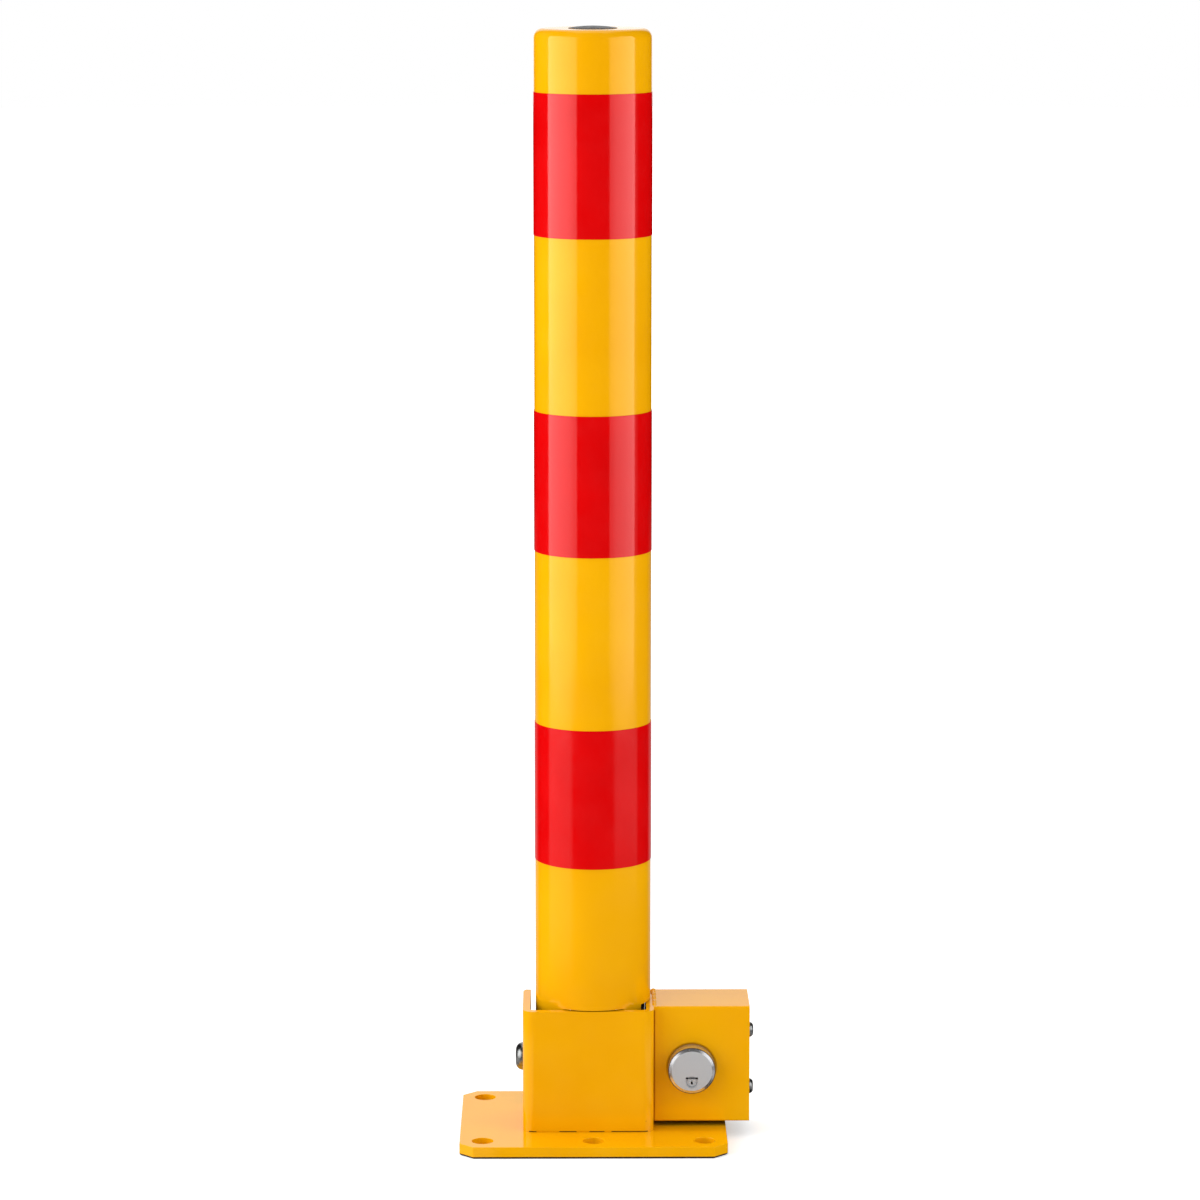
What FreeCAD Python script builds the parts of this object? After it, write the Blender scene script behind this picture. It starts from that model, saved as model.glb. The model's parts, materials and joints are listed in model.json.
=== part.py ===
# A folding parking bollard: a round steel post on a hinge, in a folded bracket on a bolted
# base plate, with a key lock in a box at its side. The lock's pin enters the hinge shaft and
# holds the post upright or lying down. Millimetres, +Z up, +Y the way the post folds, with the
# origin at the centre of the base plate's underside.
import FreeCAD, Part
import math
import os
import re
import Sketcher

doc = FreeCAD.newDocument("folding_bollard")
sheet = doc.addObject("Spreadsheet::Sheet", "Sizes")

# Driving sizes: name, value, meaning
DRIVING_SIZES = [
    ("plate_width", 175, "base plate, left to right"),
    ("plate_depth", 133, "base plate, front to back"),
    ("plate_thickness", 8, "base plate"),
    ("plate_corner", 9, "clipped corner of the base plate"),
    ("bolt_hole", 14, "diameter of a ground bolt's hole"),
    ("bolt_inset", 15, "ground bolt from the plate's edges"),
    ("edge_round", 0.8, "rounding of cut sheet edges under the paint"),
    ("post_diameter", 76, "tube of the post"),
    ("post_wall", 2.5, "wall of the post"),
    ("post_length", 637, "tube from its foot to its closed top"),
    ("post_offset", 5.5, "post axis behind the plate's centre"),
    ("post_top_round", 6, "rounding of the closed top"),
    ("foot_gap", 0.3, "play between the post's foot and the bracket's rim"),
    ("skirt_depth", 16, "post's wall below its foot, inside the bracket"),
    ("skirt_gap", 0.4, "that wall from the bracket's front plate and right cheek"),
    ("skirt_relief", 3.3, "that wall from the right cheek, in front of the post's axis"),
    ("foot_plate_thickness", 6, "disc welded in the post's foot"),
    ("plug_hole", 25, "hole in the post's closed top"),
    ("plug_head", 31.4, "diameter of the plug's head"),
    ("plug_height", 2, "height of the plug's domed head"),
    ("plug_length", 9, "stem of the plug below its head"),
    ("plug_wall", 2, "wall of the plug's hollow stem"),
    ("band_height", 91.7, "one red band"),
    ("band_pitch", 205, "from one red band to the next"),
    ("band_drop", 40.2, "first red band below the top"),
    ("band_film", 0.25, "thickness of the red film"),
    ("band_glue", 0.1, "glue under the red film"),
    ("bracket_width", 86, "outside of the folded bracket"),
    ("bracket_depth", 63.5, "front face to the cheeks' rear edges"),
    ("bracket_height", 81.4, "bracket above the base plate"),
    ("bracket_shift", -3.3, "bracket's middle beside the post's axis"),
    ("bracket_front_set", 0.5, "bracket's front face behind the front of the post"),
    ("bracket_sheet", 5, "sheet of the bracket"),
    ("bend_round", 2.5, "inside radius of the bracket's bends"),
    ("cheek_round", 6, "upper rear corner of the left cheek"),
    ("hinge_height", 48.3, "hinge axis and lock axis above the ground"),
    ("hinge_set_back", 4, "hinge axis behind the post's axis"),
    ("shaft_diameter", 14, "hinge shaft"),
    ("shaft_past_lock", 9, "hinge shaft beyond the lock's axis"),
    ("running_clearance", 0.05, "shafts and pins that turn or slide, on the radius"),
    ("fixed_clearance", 0.02, "pieces pressed or screwed together, on the radius"),
    ("end_float", 0.3, "play along the hinge shaft"),
    ("lug_thickness", 8, "one hinge lug"),
    ("lug_spacing", 40, "middle of one lug to the other"),
    ("lug_radius", 16, "round end of a lug"),
    ("lug_pin_diameter", 4, "pin through lug and shaft"),
    ("spacer_wall", 3.5, "spacer tubes on the hinge shaft"),
    ("shaft_screw_head", 18.4, "pan head of the screw at the left end of the shaft"),
    ("shaft_screw_height", 4.8, "height of that head"),
    ("shaft_screw_round", 3.2, "rounded edge of that head"),
    ("shaft_screw_shank", 8, "its shank"),
    ("shaft_screw_length", 16, "length of its shank"),
    ("shaft_screw_socket", 6, "its hexagon socket, across flats"),
    ("circlip_thickness", 1.2, "retaining ring on the hinge shaft"),
    ("circlip_groove", 1, "depth of the ring's groove"),
    ("circlip_rim", 3, "ring outside the shaft"),
    ("circlip_opening", 6, "open end of the ring"),
    ("box_length", 63.2, "lock box, from the bracket outwards"),
    ("box_depth", 46.3, "lock box, front to back"),
    ("box_height", 78, "lock box"),
    ("box_gap", 3.4, "lock box above the base plate"),
    ("box_front_set", 13.2, "box front behind the bracket's front"),
    ("box_wall", 3, "wall of the lock box"),
    ("box_round", 1.5, "rounded edges of the lock box"),
    ("cover_sheet", 3, "cover in the box's outer end"),
    ("cover_gap", 0.3, "cover inside the box's walls"),
    ("bar_thickness", 8, "tapped bar behind the cover"),
    ("bar_width", 14, "tapped bar, front to back"),
    ("cover_screw_spacing", 38.6, "upper cover screw to lower"),
    ("cover_screw_head", 10.3, "pan head"),
    ("cover_screw_height", 3.3, "height of the head"),
    ("cover_screw_round", 1.8, "rounded edge of the head"),
    ("cover_screw_shank", 6, "shank"),
    ("cover_screw_length", 10, "length of the shank"),
    ("cover_screw_socket", 4, "hexagon socket, across flats"),
    ("socket_depth", 2, "depth of a hexagon socket"),
    ("lock_offset", 25, "lock axis outside the bracket"),
    ("lock_diameter", 31, "lock barrel"),
    ("lock_proud", 10.3, "barrel in front of the box when it is out"),
    ("lock_travel", 9, "push of the barrel"),
    ("lock_bevel", 2.2, "bevelled rim of the barrel's face"),
    ("slide_clearance", 0.1, "barrel in its sleeve, on the radius"),
    ("sleeve_wall", 3.5, "wall of the barrel's sleeve"),
    ("mouth_bevel", 1.2, "bevelled mouth of the sleeve"),
    ("sleeve_floor", 3, "floor of the sleeve"),
    ("sleeve_gap", 1, "sleeve in front of the hinge shaft"),
    ("barrel_end_gap", 0.5, "barrel from the sleeve's floor when pushed in"),
    ("pin_diameter", 5, "locking pin"),
    ("pin_seat", 3, "locking pin held in the barrel"),
    ("pin_hole_clearance", 0.2, "locking pin in the hinge shaft, on the radius"),
    ("spring_wire", 1.2, "wire of the spring round the locking pin"),
    ("spring_play", 0.4, "spring clear of the pin and of its seat"),
    ("spring_turns", 3, "coils"),
    ("spring_seat", 4, "depth of the spring's seat in the barrel"),
    ("key_drop", 7.6, "key plug's axis below the lock's axis"),
    ("key_plug_diameter", 6.6, "key plug"),
    ("key_recess_width", 8, "recess round the keyhole"),
    ("key_recess_top", 3.4, "flat top of the recess above the key plug's axis"),
    ("key_recess_depth", 1.2, "depth of the recess"),
    ("keyway_width", 1.4, "keyhole"),
    ("keyway_height", 4, "keyhole"),
    ("keyway_depth", 7, "keyhole"),
    ("latch_width", 11, "latch in the barrel"),
    ("latch_length", 4, "latch along the barrel"),
    ("latch_travel", 2.2, "latch out of the barrel"),
    ("latch_rear", 1.5, "barrel's wall behind the latch"),
    ("latch_above", 2.4, "latch above the key plug's axis"),
    ("latch_inset", 1.2, "latch's end inside the barrel's outside when drawn in"),
    ("latch_play", 0.3, "latch in its pocket and window"),
    ("drive_pin", 2, "eccentric pin that moves the latch"),
    ("drive_play", 0.8, "that pin in the latch's slot, up and down"),
    ("stop_screw_diameter", 4, "screw that stops the barrel"),
    ("stop_tip", 3, "its tip in the barrel's groove"),
    ("stop_groove_depth", 2.2, "that groove"),
    ("stop_rear", 3.8, "stop screw in front of the barrel's rear end"),
    ("stop_play", 0.3, "tip in the groove"),
]

# Sizes and places worked out from the driving ones
WORKED_OUT = [
    ("rim_z", "plate_thickness + bracket_height"),
    ("post_foot_z", "rim_z + foot_gap"),
    ("post_radius", "post_diameter / 2"),
    ("post_bore", "post_radius - post_wall"),
    ("post_top_z", "post_foot_z + post_length"),
    ("bracket_front_y", "post_offset - post_radius + bracket_front_set"),
    ("bracket_rear_y", "bracket_front_y + bracket_depth"),
    ("bracket_left_x", "bracket_shift - bracket_width / 2"),
    ("bracket_right_x", "bracket_shift + bracket_width / 2"),
    ("left_cheek_x", "bracket_left_x + bracket_sheet"),
    ("right_cheek_x", "bracket_right_x - bracket_sheet"),
    ("skirt_reach", "max(post_radius; right_cheek_x)"),
    ("hinge_y", "post_offset + hinge_set_back"),
    ("shaft_radius", "shaft_diameter / 2"),
    ("shaft_left_x", "bracket_left_x - end_float"),
    ("box_right_x", "bracket_right_x + box_length"),
    ("box_front_y", "bracket_front_y + box_front_set"),
    ("box_bottom_z", "plate_thickness + box_gap"),
    ("box_top_z", "box_bottom_z + box_height"),
    ("bar_right_x", "box_right_x - cover_sheet"),
    ("lock_x", "bracket_right_x + lock_offset"),
    ("lock_radius", "lock_diameter / 2"),
    ("sleeve_bore", "lock_radius + slide_clearance"),
    ("sleeve_radius", "sleeve_bore + sleeve_wall"),
    ("sleeve_length", "hinge_y - shaft_radius - sleeve_gap - box_front_y"),
    ("sleeve_depth", "sleeve_length - sleeve_floor"),
    ("barrel_inside", "sleeve_depth - lock_travel - barrel_end_gap"),
    ("barrel_length", "lock_proud + barrel_inside"),
    ("pin_radius", "pin_diameter / 2"),
    ("spring_inside", "pin_radius + spring_play"),
    ("spring_outside", "spring_inside + spring_wire"),
    ("spring_seat_radius", "spring_outside + spring_play"),
    ("spring_length", "sleeve_depth - barrel_inside + spring_seat"),
    ("key_plug_radius", "key_plug_diameter / 2"),
    ("latch_front", "barrel_length - latch_rear - latch_length"),
    ("latch_top", "key_drop - latch_above"),
    ("latch_bottom", "lock_radius - latch_inset"),
]

for row, (name, value, meaning) in enumerate(DRIVING_SIZES, start=1):
    sheet.set(f"A{row}", name)
    sheet.set(f"B{row}", str(value))
    sheet.set(f"C{row}", meaning)
    sheet.setAlias(f"B{row}", name)
for row, (name, formula) in enumerate(WORKED_OUT, start=len(DRIVING_SIZES) + 2):
    sheet.set(f"A{row}", name)
    sheet.set(f"B{row}", f"={formula}")
    sheet.setAlias(f"B{row}", name)
doc.recompute()

ALIASES = [row[0] for row in DRIVING_SIZES + WORKED_OUT]
HALF_TURN = math.pi
# How far a cut runs past the faces that it opens
OVERCUT = 5
ALONG_X = FreeCAD.Rotation(FreeCAD.Vector(0, 1, 0), 90)
AGAINST_X = FreeCAD.Rotation(FreeCAD.Vector(0, 1, 0), -90)
ALONG_Y = FreeCAD.Rotation(FreeCAD.Vector(1, 0, 0), -90)
UPRIGHT = FreeCAD.Rotation()


def sized(words):
    """An expression on the sheet's cells, from plain size names."""
    return re.sub("[a-z_]+", lambda word: f"Sizes.{word[0]}" if word[0] in ALIASES else word[0], words)


def number(words):
    """The present value of such an expression."""
    return float(sheet.evalExpression(sized(words)))


def place(piece, base, turn=UPRIGHT):
    """Put a piece at a place given by three size expressions."""
    piece.Placement = FreeCAD.Placement(FreeCAD.Vector(*[number(word) for word in base]), turn)
    for axis, word in zip("xyz", base):
        piece.setExpression(f"Placement.Base.{axis}", sized(word))


def new_body(label):
    body = doc.addObject("PartDesign::Body", label)
    body.Label = label
    return body


def new_sketch(body, name, role, height="0"):
    """A sketch on one of the body's own planes, moved along the plane's normal."""
    sketch = body.newObject("Sketcher::SketchObject", f"{body.Label}_{name}")
    plane = [feature for feature in body.Origin.OriginFeatures if feature.Role == role][0]
    sketch.AttachmentSupport = [(plane, "")]
    sketch.MapMode = "FlatFace"
    sketch.setExpression("AttachmentOffset.Base.z", sized(height))
    return sketch


def bind_point(sketch, geometry, end, across, up):
    """Tie one point of a sketch to size expressions."""
    for kind, word in (("DistanceX", across), ("DistanceY", up)):
        rule = Sketcher.Constraint(kind, -1, 1, geometry, end, number(word))
        sketch.setExpression(f"Constraints[{sketch.addConstraint(rule)}]", sized(word))


def arc_between(start, end, radius):
    """The shorter arc from start to end that turns to the left."""
    middle = (start + end) * 0.5
    along = end - start
    rise = math.sqrt(max(radius ** 2 - (along.Length / 2) ** 2, 0))
    left = FreeCAD.Vector(-along.y, along.x, 0).normalize()
    centre = middle + left * rise
    first = math.atan2(start.y - centre.y, start.x - centre.x)
    last = math.atan2(end.y - centre.y, end.x - centre.x)
    circle = Part.Circle(centre, FreeCAD.Vector(0, 0, 1), radius)
    return Part.ArcOfCircle(circle, first, last if last > first else last + 2 * HALF_TURN)


def draw_outline(sketch, corners):
    """A closed outline. A corner with a third word starts an arc of that radius."""
    first = sketch.GeometryCount
    points = [FreeCAD.Vector(number(corner[0]), number(corner[1]), 0) for corner in corners]
    for index, corner in enumerate(corners):
        start, end = points[index], points[(index + 1) % len(points)]
        if len(corner) == 3:
            sketch.addGeometry(arc_between(start, end, number(corner[2])), False)
        else:
            sketch.addGeometry(Part.LineSegment(start, end), False)
    for index, corner in enumerate(corners):
        following = first + (index + 1) % len(corners)
        sketch.addConstraint(Sketcher.Constraint("Coincident", first + index, 2, following, 1))
        bind_point(sketch, first + index, 1, corner[0], corner[1])
        if len(corner) == 3:
            rule = Sketcher.Constraint("Radius", first + index, number(corner[2]))
            sketch.setExpression(f"Constraints[{sketch.addConstraint(rule)}]", sized(corner[2]))


def draw_rectangle(sketch, left, right, bottom, top):
    draw_outline(sketch, [(left, bottom), (right, bottom), (right, top), (left, top)])


def draw_circle(sketch, across, up, radius):
    centre = FreeCAD.Vector(number(across), number(up), 0)
    circle = Part.Circle(centre, FreeCAD.Vector(0, 0, 1), number(radius))
    geometry = sketch.addGeometry(circle, False)
    bind_point(sketch, geometry, 3, across, up)
    rule = Sketcher.Constraint("Radius", geometry, number(radius))
    sketch.setExpression(f"Constraints[{sketch.addConstraint(rule)}]", sized(radius))


def draw_hexagon(sketch, across_flats):
    reach = f"{across_flats} / sqrt(3)"
    turns = [index * HALF_TURN / 3 for index in range(6)]
    draw_outline(sketch, [(f"{reach} * {math.cos(a):.9f}", f"{reach} * {math.sin(a):.9f}") for a in turns])


def add_pad(body, sketch, length):
    pad = body.newObject("PartDesign::Pad", f"{sketch.Name}_pad")
    pad.Profile = sketch
    pad.setExpression("Length", sized(length))
    return pad


def add_pocket(body, sketch, length=None, forwards=False):
    """Cut a sketch against its normal, or along it, to a depth or right through.
    A cut that takes nothing away is an error."""
    doc.recompute()
    before = body.Shape.Volume
    pocket = body.newObject("PartDesign::Pocket", f"{sketch.Name}_cut")
    pocket.Profile = sketch
    pocket.Reversed = forwards
    if length is None:
        pocket.Type = "ThroughAll"
    else:
        pocket.setExpression("Length", sized(length))
    doc.recompute()
    if not body.Shape.Volume < before:
        raise RuntimeError(f"{pocket.Name} cuts nothing")
    return pocket


def add_rounding(body, name, radius, chosen):
    """Round those edges of the body for which chosen(edge) is true."""
    doc.recompute()
    base = body.Tip
    names = [f"Edge{i}" for i, edge in enumerate(base.Shape.Edges, start=1) if chosen(edge)]
    if not names:
        raise RuntimeError(f"{body.Label} has no edge for {name}")
    rounding = body.newObject("PartDesign::Fillet", f"{body.Label}_{name}")
    rounding.Base = (base, names)
    rounding.setExpression("Radius", sized(radius))
    doc.recompute()
    return rounding


def near(first, second):
    return abs(first - second) < 1e-4


def is_straight(edge):
    return isinstance(edge.Curve, Part.Line)


def is_upright(edge):
    box = edge.BoundBox
    return near(box.XLength, 0) and near(box.YLength, 0)


def level_at(edge, height):
    box = edge.BoundBox
    return near(box.ZMin, height) and near(box.ZMax, height)


def turned(label, corners, base, turn=UPRIGHT):
    """A piece turned about its own Z: corners are (radius, height) pairs."""
    body = new_body(label)
    sketch = new_sketch(body, "profile", "XZ_Plane")
    draw_outline(sketch, corners)
    turning = body.newObject("PartDesign::Revolution", f"{label}_turning")
    turning.Profile = sketch
    turning.ReferenceAxis = (sketch, ["V_Axis"])
    turning.Angle = 360
    place(body, base, turn)
    return body


def ring(label, inside, outside, length, base, turn=UPRIGHT):
    corners = [(inside, "0"), (outside, "0"), (outside, length), (inside, length)]
    return turned(label, corners, base, turn)


def pan_screw(label, size, base, turn):
    """A pan-head screw: its head stands on its Z = 0 and its shank hangs below."""
    head = f"{size}_head / 2"
    rise = f"{size}_height"
    shank = f"{size}_shank / 2"
    edge = f"{size}_round"
    body = turned(label, [
        ("0", f"-{size}_length"), (shank, f"-{size}_length"), (shank, "0"), (head, "0"),
        (head, f"{rise} - {edge}", edge), (f"{head} - {edge}", rise), ("0", rise)], base, turn)
    socket = new_sketch(body, "socket", "XY_Plane", f"{rise} - socket_depth")
    draw_hexagon(socket, f"{size}_socket")
    add_pocket(body, socket, forwards=True)
    return body


def make_base_plate():
    body = new_body("base_plate")
    outline = new_sketch(body, "outline", "XY_Plane")
    side, end = "plate_width / 2", "plate_depth / 2"
    inner_side, inner_end = f"({side} - plate_corner)", f"({end} - plate_corner)"
    draw_outline(outline, [
        (f"-{inner_side}", f"-{end}"), (inner_side, f"-{end}"),
        (side, f"-{inner_end}"), (side, inner_end),
        (inner_side, end), (f"-{inner_side}", end),
        (f"-{side}", inner_end), (f"-{side}", f"-{inner_end}")])
    add_pad(body, outline, "plate_thickness")
    holes = new_sketch(body, "bolt_holes", "XY_Plane")
    bolt_x, bolt_y = "(plate_width / 2 - bolt_inset)", "(plate_depth / 2 - bolt_inset)"
    for across, up in ((f"-{bolt_x}", f"-{bolt_y}"), ("0", f"-{bolt_y}"), (bolt_x, f"-{bolt_y}"),
                       (f"-{bolt_x}", bolt_y), (bolt_x, bolt_y)):
        draw_circle(holes, across, up, "bolt_hole / 2")
    add_pocket(body, holes, forwards=True)
    top = number("plate_thickness")
    add_rounding(body, "edges", "edge_round", lambda edge: level_at(edge, top) and is_straight(edge))
    return body


def make_hinge_bracket():
    body = new_body("bracket_sheet_metal")
    outline = new_sketch(body, "outline", "XY_Plane", "plate_thickness")
    inner_front = "bracket_front_y + bracket_sheet"
    draw_outline(outline, [
        ("bracket_left_x", "bracket_front_y"), ("bracket_right_x", "bracket_front_y"),
        ("bracket_right_x", "bracket_rear_y"), ("right_cheek_x", "bracket_rear_y"),
        ("right_cheek_x", inner_front), ("left_cheek_x", inner_front),
        ("left_cheek_x", "bracket_rear_y"), ("bracket_left_x", "bracket_rear_y")])
    add_pad(body, outline, "bracket_height")
    outer_front, inside_front = number("bracket_front_y"), number(inner_front)
    add_rounding(body, "outer_bends", "bend_round + bracket_sheet",
                 lambda edge: is_upright(edge) and near(edge.BoundBox.YMin, outer_front))
    add_rounding(body, "inner_bends", "bend_round",
                 lambda edge: is_upright(edge) and near(edge.BoundBox.YMin, inside_front))
    rim, rear = number("rim_z"), number("bracket_rear_y")
    left_inside = number("left_cheek_x")
    add_rounding(body, "left_corner", "cheek_round",
                 lambda edge: level_at(edge, rim) and near(edge.BoundBox.YMin, rear)
                 and edge.BoundBox.XMax < left_inside + OVERCUT)
    bore = new_sketch(body, "shaft_bore", "YZ_Plane", f"bracket_right_x + {OVERCUT}")
    draw_circle(bore, "hinge_y", "hinge_height", "shaft_radius + running_clearance")
    add_pocket(body, bore)
    add_rounding(body, "edges", "edge_round",
                 lambda edge: level_at(edge, rim) or is_upright(edge) and near(edge.BoundBox.YMin, rear))
    return swing_relief(body)


def swing_relief(bracket):
    """Round the right cheek's upper rear corner about the hinge, where the post's foot swings by."""
    corner = doc.addObject("Part::Box", "swing_corner")
    for side, words in (("Length", f"bracket_sheet + 2 * {OVERCUT}"), ("Width", "bracket_depth"),
                        ("Height", "bracket_height")):
        corner.setExpression(side, sized(words))
    place(corner, (f"right_cheek_x - {OVERCUT}", "hinge_y", "hinge_height"))
    sweep = doc.addObject("Part::Cylinder", "swing_sweep")
    sweep.setExpression("Radius", sized("rim_z - hinge_height"))
    sweep.setExpression("Height", sized(f"bracket_sheet + 4 * {OVERCUT}"))
    place(sweep, (f"right_cheek_x - 2 * {OVERCUT}", "hinge_y", "hinge_height"), ALONG_X)
    waste = doc.addObject("Part::Cut", "swing_waste")
    waste.Base, waste.Tool = corner, sweep
    cut = doc.addObject("Part::Cut", "hinge_bracket")
    cut.Base, cut.Tool = bracket, waste
    cut.Label = "hinge_bracket"
    return cut


def make_lock_box():
    body = new_body("lock_box")
    walls = new_sketch(body, "walls", "YZ_Plane", "bracket_right_x")
    rear, top = "box_front_y + box_depth", "box_top_z"
    draw_rectangle(walls, "box_front_y", rear, "box_bottom_z", top)
    draw_rectangle(walls, "box_front_y + box_wall", f"{rear} - box_wall",
                   "box_bottom_z + box_wall", f"{top} - box_wall")
    add_pad(body, walls, "box_length")
    sides = (number("box_front_y"), number(rear))
    add_rounding(body, "edges", "box_round",
                 lambda edge: near(edge.BoundBox.XLength, number("box_length"))
                 and any(near(edge.BoundBox.YMin, side) for side in sides))
    opening = new_sketch(body, "sleeve_hole", "XZ_Plane", f"-(box_front_y - {OVERCUT})")
    draw_circle(opening, "lock_x", "hinge_height", "sleeve_radius + fixed_clearance")
    add_pocket(body, opening, f"box_wall + 2 * {OVERCUT}")
    return body


def cover_screw_heights():
    return ("hinge_height - cover_screw_spacing / 2", "hinge_height + cover_screw_spacing / 2")


def box_middle_y():
    return "box_front_y + box_depth / 2"


def make_box_cover():
    body = new_body("box_cover")
    outline = new_sketch(body, "outline", "YZ_Plane", "bar_right_x")
    edge = "(box_wall + cover_gap)"
    draw_rectangle(outline, f"box_front_y + {edge}", f"box_front_y + box_depth - {edge}",
                   f"box_bottom_z + {edge}", f"box_top_z - {edge}")
    for height in cover_screw_heights():
        draw_circle(outline, box_middle_y(), height, "cover_screw_shank / 2 + cover_gap")
    add_pad(body, outline, "cover_sheet")
    return body


def make_cover_bar():
    body = new_body("cover_bar")
    outline = new_sketch(body, "outline", "YZ_Plane", "bar_right_x - bar_thickness")
    draw_rectangle(outline, f"{box_middle_y()} - bar_width / 2", f"{box_middle_y()} + bar_width / 2",
                   "box_bottom_z + box_wall", "box_top_z - box_wall")
    for height in cover_screw_heights():
        draw_circle(outline, box_middle_y(), height, "cover_screw_shank / 2 + fixed_clearance")
    add_pad(body, outline, "bar_thickness")
    return body


def make_cover_screws():
    screws = [pan_screw(f"cover_screw_{index}", "cover_screw",
                        ("box_right_x", box_middle_y(), height), ALONG_X)
              for index, height in enumerate(cover_screw_heights(), start=1)]
    group = doc.addObject("Part::Compound", "cover_screws")
    group.Links = screws
    group.Label = "cover_screws"
    return group


def make_post_tube():
    """The tube. Its foot stands over the bracket's rim, and the wall goes on below as a skirt where
    the bracket is open."""
    body = turned("post_tube", [
        ("post_bore", "-skirt_depth"), ("post_radius", "-skirt_depth"), ("post_radius", "post_length"),
        ("plug_hole / 2", "post_length"), ("plug_hole / 2", "post_length - post_wall"),
        ("post_bore", "post_length - post_wall")],
        ("0", "post_offset", "post_foot_z"))
    skirt = new_sketch(body, "skirt_cut", "XY_Plane")
    past = f"(skirt_reach + {OVERCUT})"
    front = "bracket_front_y + bracket_sheet + skirt_gap - post_offset"
    beside, relieved = "right_cheek_x - skirt_gap", "right_cheek_x - skirt_relief"
    draw_outline(skirt, [
        (f"-{past}", f"-{past}"), (past, f"-{past}"), (past, past), (beside, past), (beside, "0"),
        (relieved, "0"), (relieved, front), (f"-{past}", front)])
    add_pocket(body, skirt, f"skirt_depth + {OVERCUT}")
    top, under = number("post_length"), number("post_length - post_wall")
    wide, bore = number("post_diameter"), number("2 * post_bore")
    add_rounding(body, "top", "post_top_round",
                 lambda edge: level_at(edge, top) and near(edge.BoundBox.XLength, wide))
    add_rounding(body, "top_inside", "max(post_top_round - post_wall; edge_round)",
                 lambda edge: level_at(edge, under) and near(edge.BoundBox.XLength, bore))
    return body


def make_top_plug():
    stem = "(plug_hole / 2 - fixed_clearance)"
    dome = "((plug_head / 2) ^ 2 + plug_height ^ 2) / (2 * plug_height)"
    hollow = f"({stem} - plug_wall)"
    return turned("top_plug", [
        ("0", "-plug_wall / 2"), (hollow, "-plug_wall / 2"), (hollow, "-plug_length"),
        (stem, "-plug_length"), (stem, "0"), ("plug_head / 2", "0", dome), ("0", "plug_height")],
        ("0", "post_offset", "post_top_z"))


def make_foot_plate():
    edge = "(post_bore - fixed_clearance)"
    return turned("foot_plate", [
        ("0", "0"), (edge, "0"), (edge, "foot_plate_thickness"), ("0", "foot_plate_thickness")],
        ("0", "post_offset", "post_foot_z"))


def make_lug(label, side):
    """One hinge lug, from the foot plate down round the shaft, with its cross pin's hole."""
    middle = f"({side} * lug_spacing / 2)"
    body = new_body(label)
    web = new_sketch(body, "web", "YZ_Plane", f"{middle} - lug_thickness / 2")
    draw_rectangle(web, "hinge_y - lug_radius", "hinge_y + lug_radius", "hinge_height", "post_foot_z")
    add_pad(body, web, "lug_thickness")
    end = new_sketch(body, "end", "YZ_Plane", f"{middle} - lug_thickness / 2")
    draw_circle(end, "hinge_y", "hinge_height", "lug_radius")
    add_pad(body, end, "lug_thickness")
    bore = new_sketch(body, "bore", "YZ_Plane", f"{middle} + lug_thickness / 2 + {OVERCUT}")
    draw_circle(bore, "hinge_y", "hinge_height", "shaft_radius + fixed_clearance")
    add_pocket(body, bore)
    pin_hole = new_sketch(body, "pin_hole", "XY_Plane", f"hinge_height - lug_radius - {OVERCUT}")
    draw_circle(pin_hole, middle, "hinge_y", "lug_pin_diameter / 2 + fixed_clearance")
    add_pocket(body, pin_hole, f"2 * lug_radius + {OVERCUT}", forwards=True)
    return body


def make_lug_pins():
    pins = []
    for name, side in (("left_lug_pin", -1), ("right_lug_pin", 1)):
        pins.append(turned(name, [
            ("0", "0"), ("lug_pin_diameter / 2", "0"), ("lug_pin_diameter / 2", "2 * lug_radius"),
            ("0", "2 * lug_radius")],
            (f"{side} * lug_spacing / 2", "hinge_y", "hinge_height - lug_radius")))
    group = doc.addObject("Part::Compound", "lug_pins")
    group.Links = pins
    group.Label = "lug_pins"
    return group


def make_hinge_shaft():
    """The shaft that turns with the post, with two crossed holes for the locking pin."""
    length = "(lock_x + shaft_past_lock - shaft_left_x)"
    tapped = "(shaft_screw_shank / 2 + fixed_clearance)"
    groove = "(bracket_right_x + end_float - shaft_left_x)"
    groove_end = f"({groove} + circlip_thickness + 2 * fixed_clearance)"
    neck = "(shaft_radius - circlip_groove)"
    depth = "(shaft_screw_length + fixed_clearance)"
    body = turned("hinge_shaft", [
        (tapped, "0"), ("shaft_radius", "0"), ("shaft_radius", groove), (neck, groove),
        (neck, groove_end), ("shaft_radius", groove_end), ("shaft_radius", length), ("0", length),
        ("0", depth), (tapped, depth)],
        ("shaft_left_x", "hinge_y", "hinge_height"), ALONG_X)
    lock_place = "lock_x - shaft_left_x"
    cross = new_sketch(body, "upright_holes", "YZ_Plane", f"shaft_radius + {OVERCUT}")
    for side in (-1, 1):
        draw_circle(cross, "0", f"{side} * lug_spacing / 2 - shaft_left_x",
                    "lug_pin_diameter / 2 + fixed_clearance")
    draw_circle(cross, "0", lock_place, "pin_radius + pin_hole_clearance")
    add_pocket(body, cross)
    level = new_sketch(body, "level_hole", "XZ_Plane", f"shaft_radius + {OVERCUT}")
    draw_circle(level, "0", lock_place, "pin_radius + pin_hole_clearance")
    add_pocket(body, level)
    return body


def make_circlip():
    body = ring("shaft_circlip", "shaft_radius - circlip_groove + fixed_clearance",
                "shaft_radius + circlip_rim", "circlip_thickness",
                ("bracket_right_x + end_float + fixed_clearance", "hinge_y", "hinge_height"), ALONG_X)
    opening = new_sketch(body, "opening", "XY_Plane")
    draw_rectangle(opening, "0", f"shaft_radius + circlip_rim + {OVERCUT}",
                   "-circlip_opening / 2", "circlip_opening / 2")
    add_pocket(body, opening, forwards=True)
    return body


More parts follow.
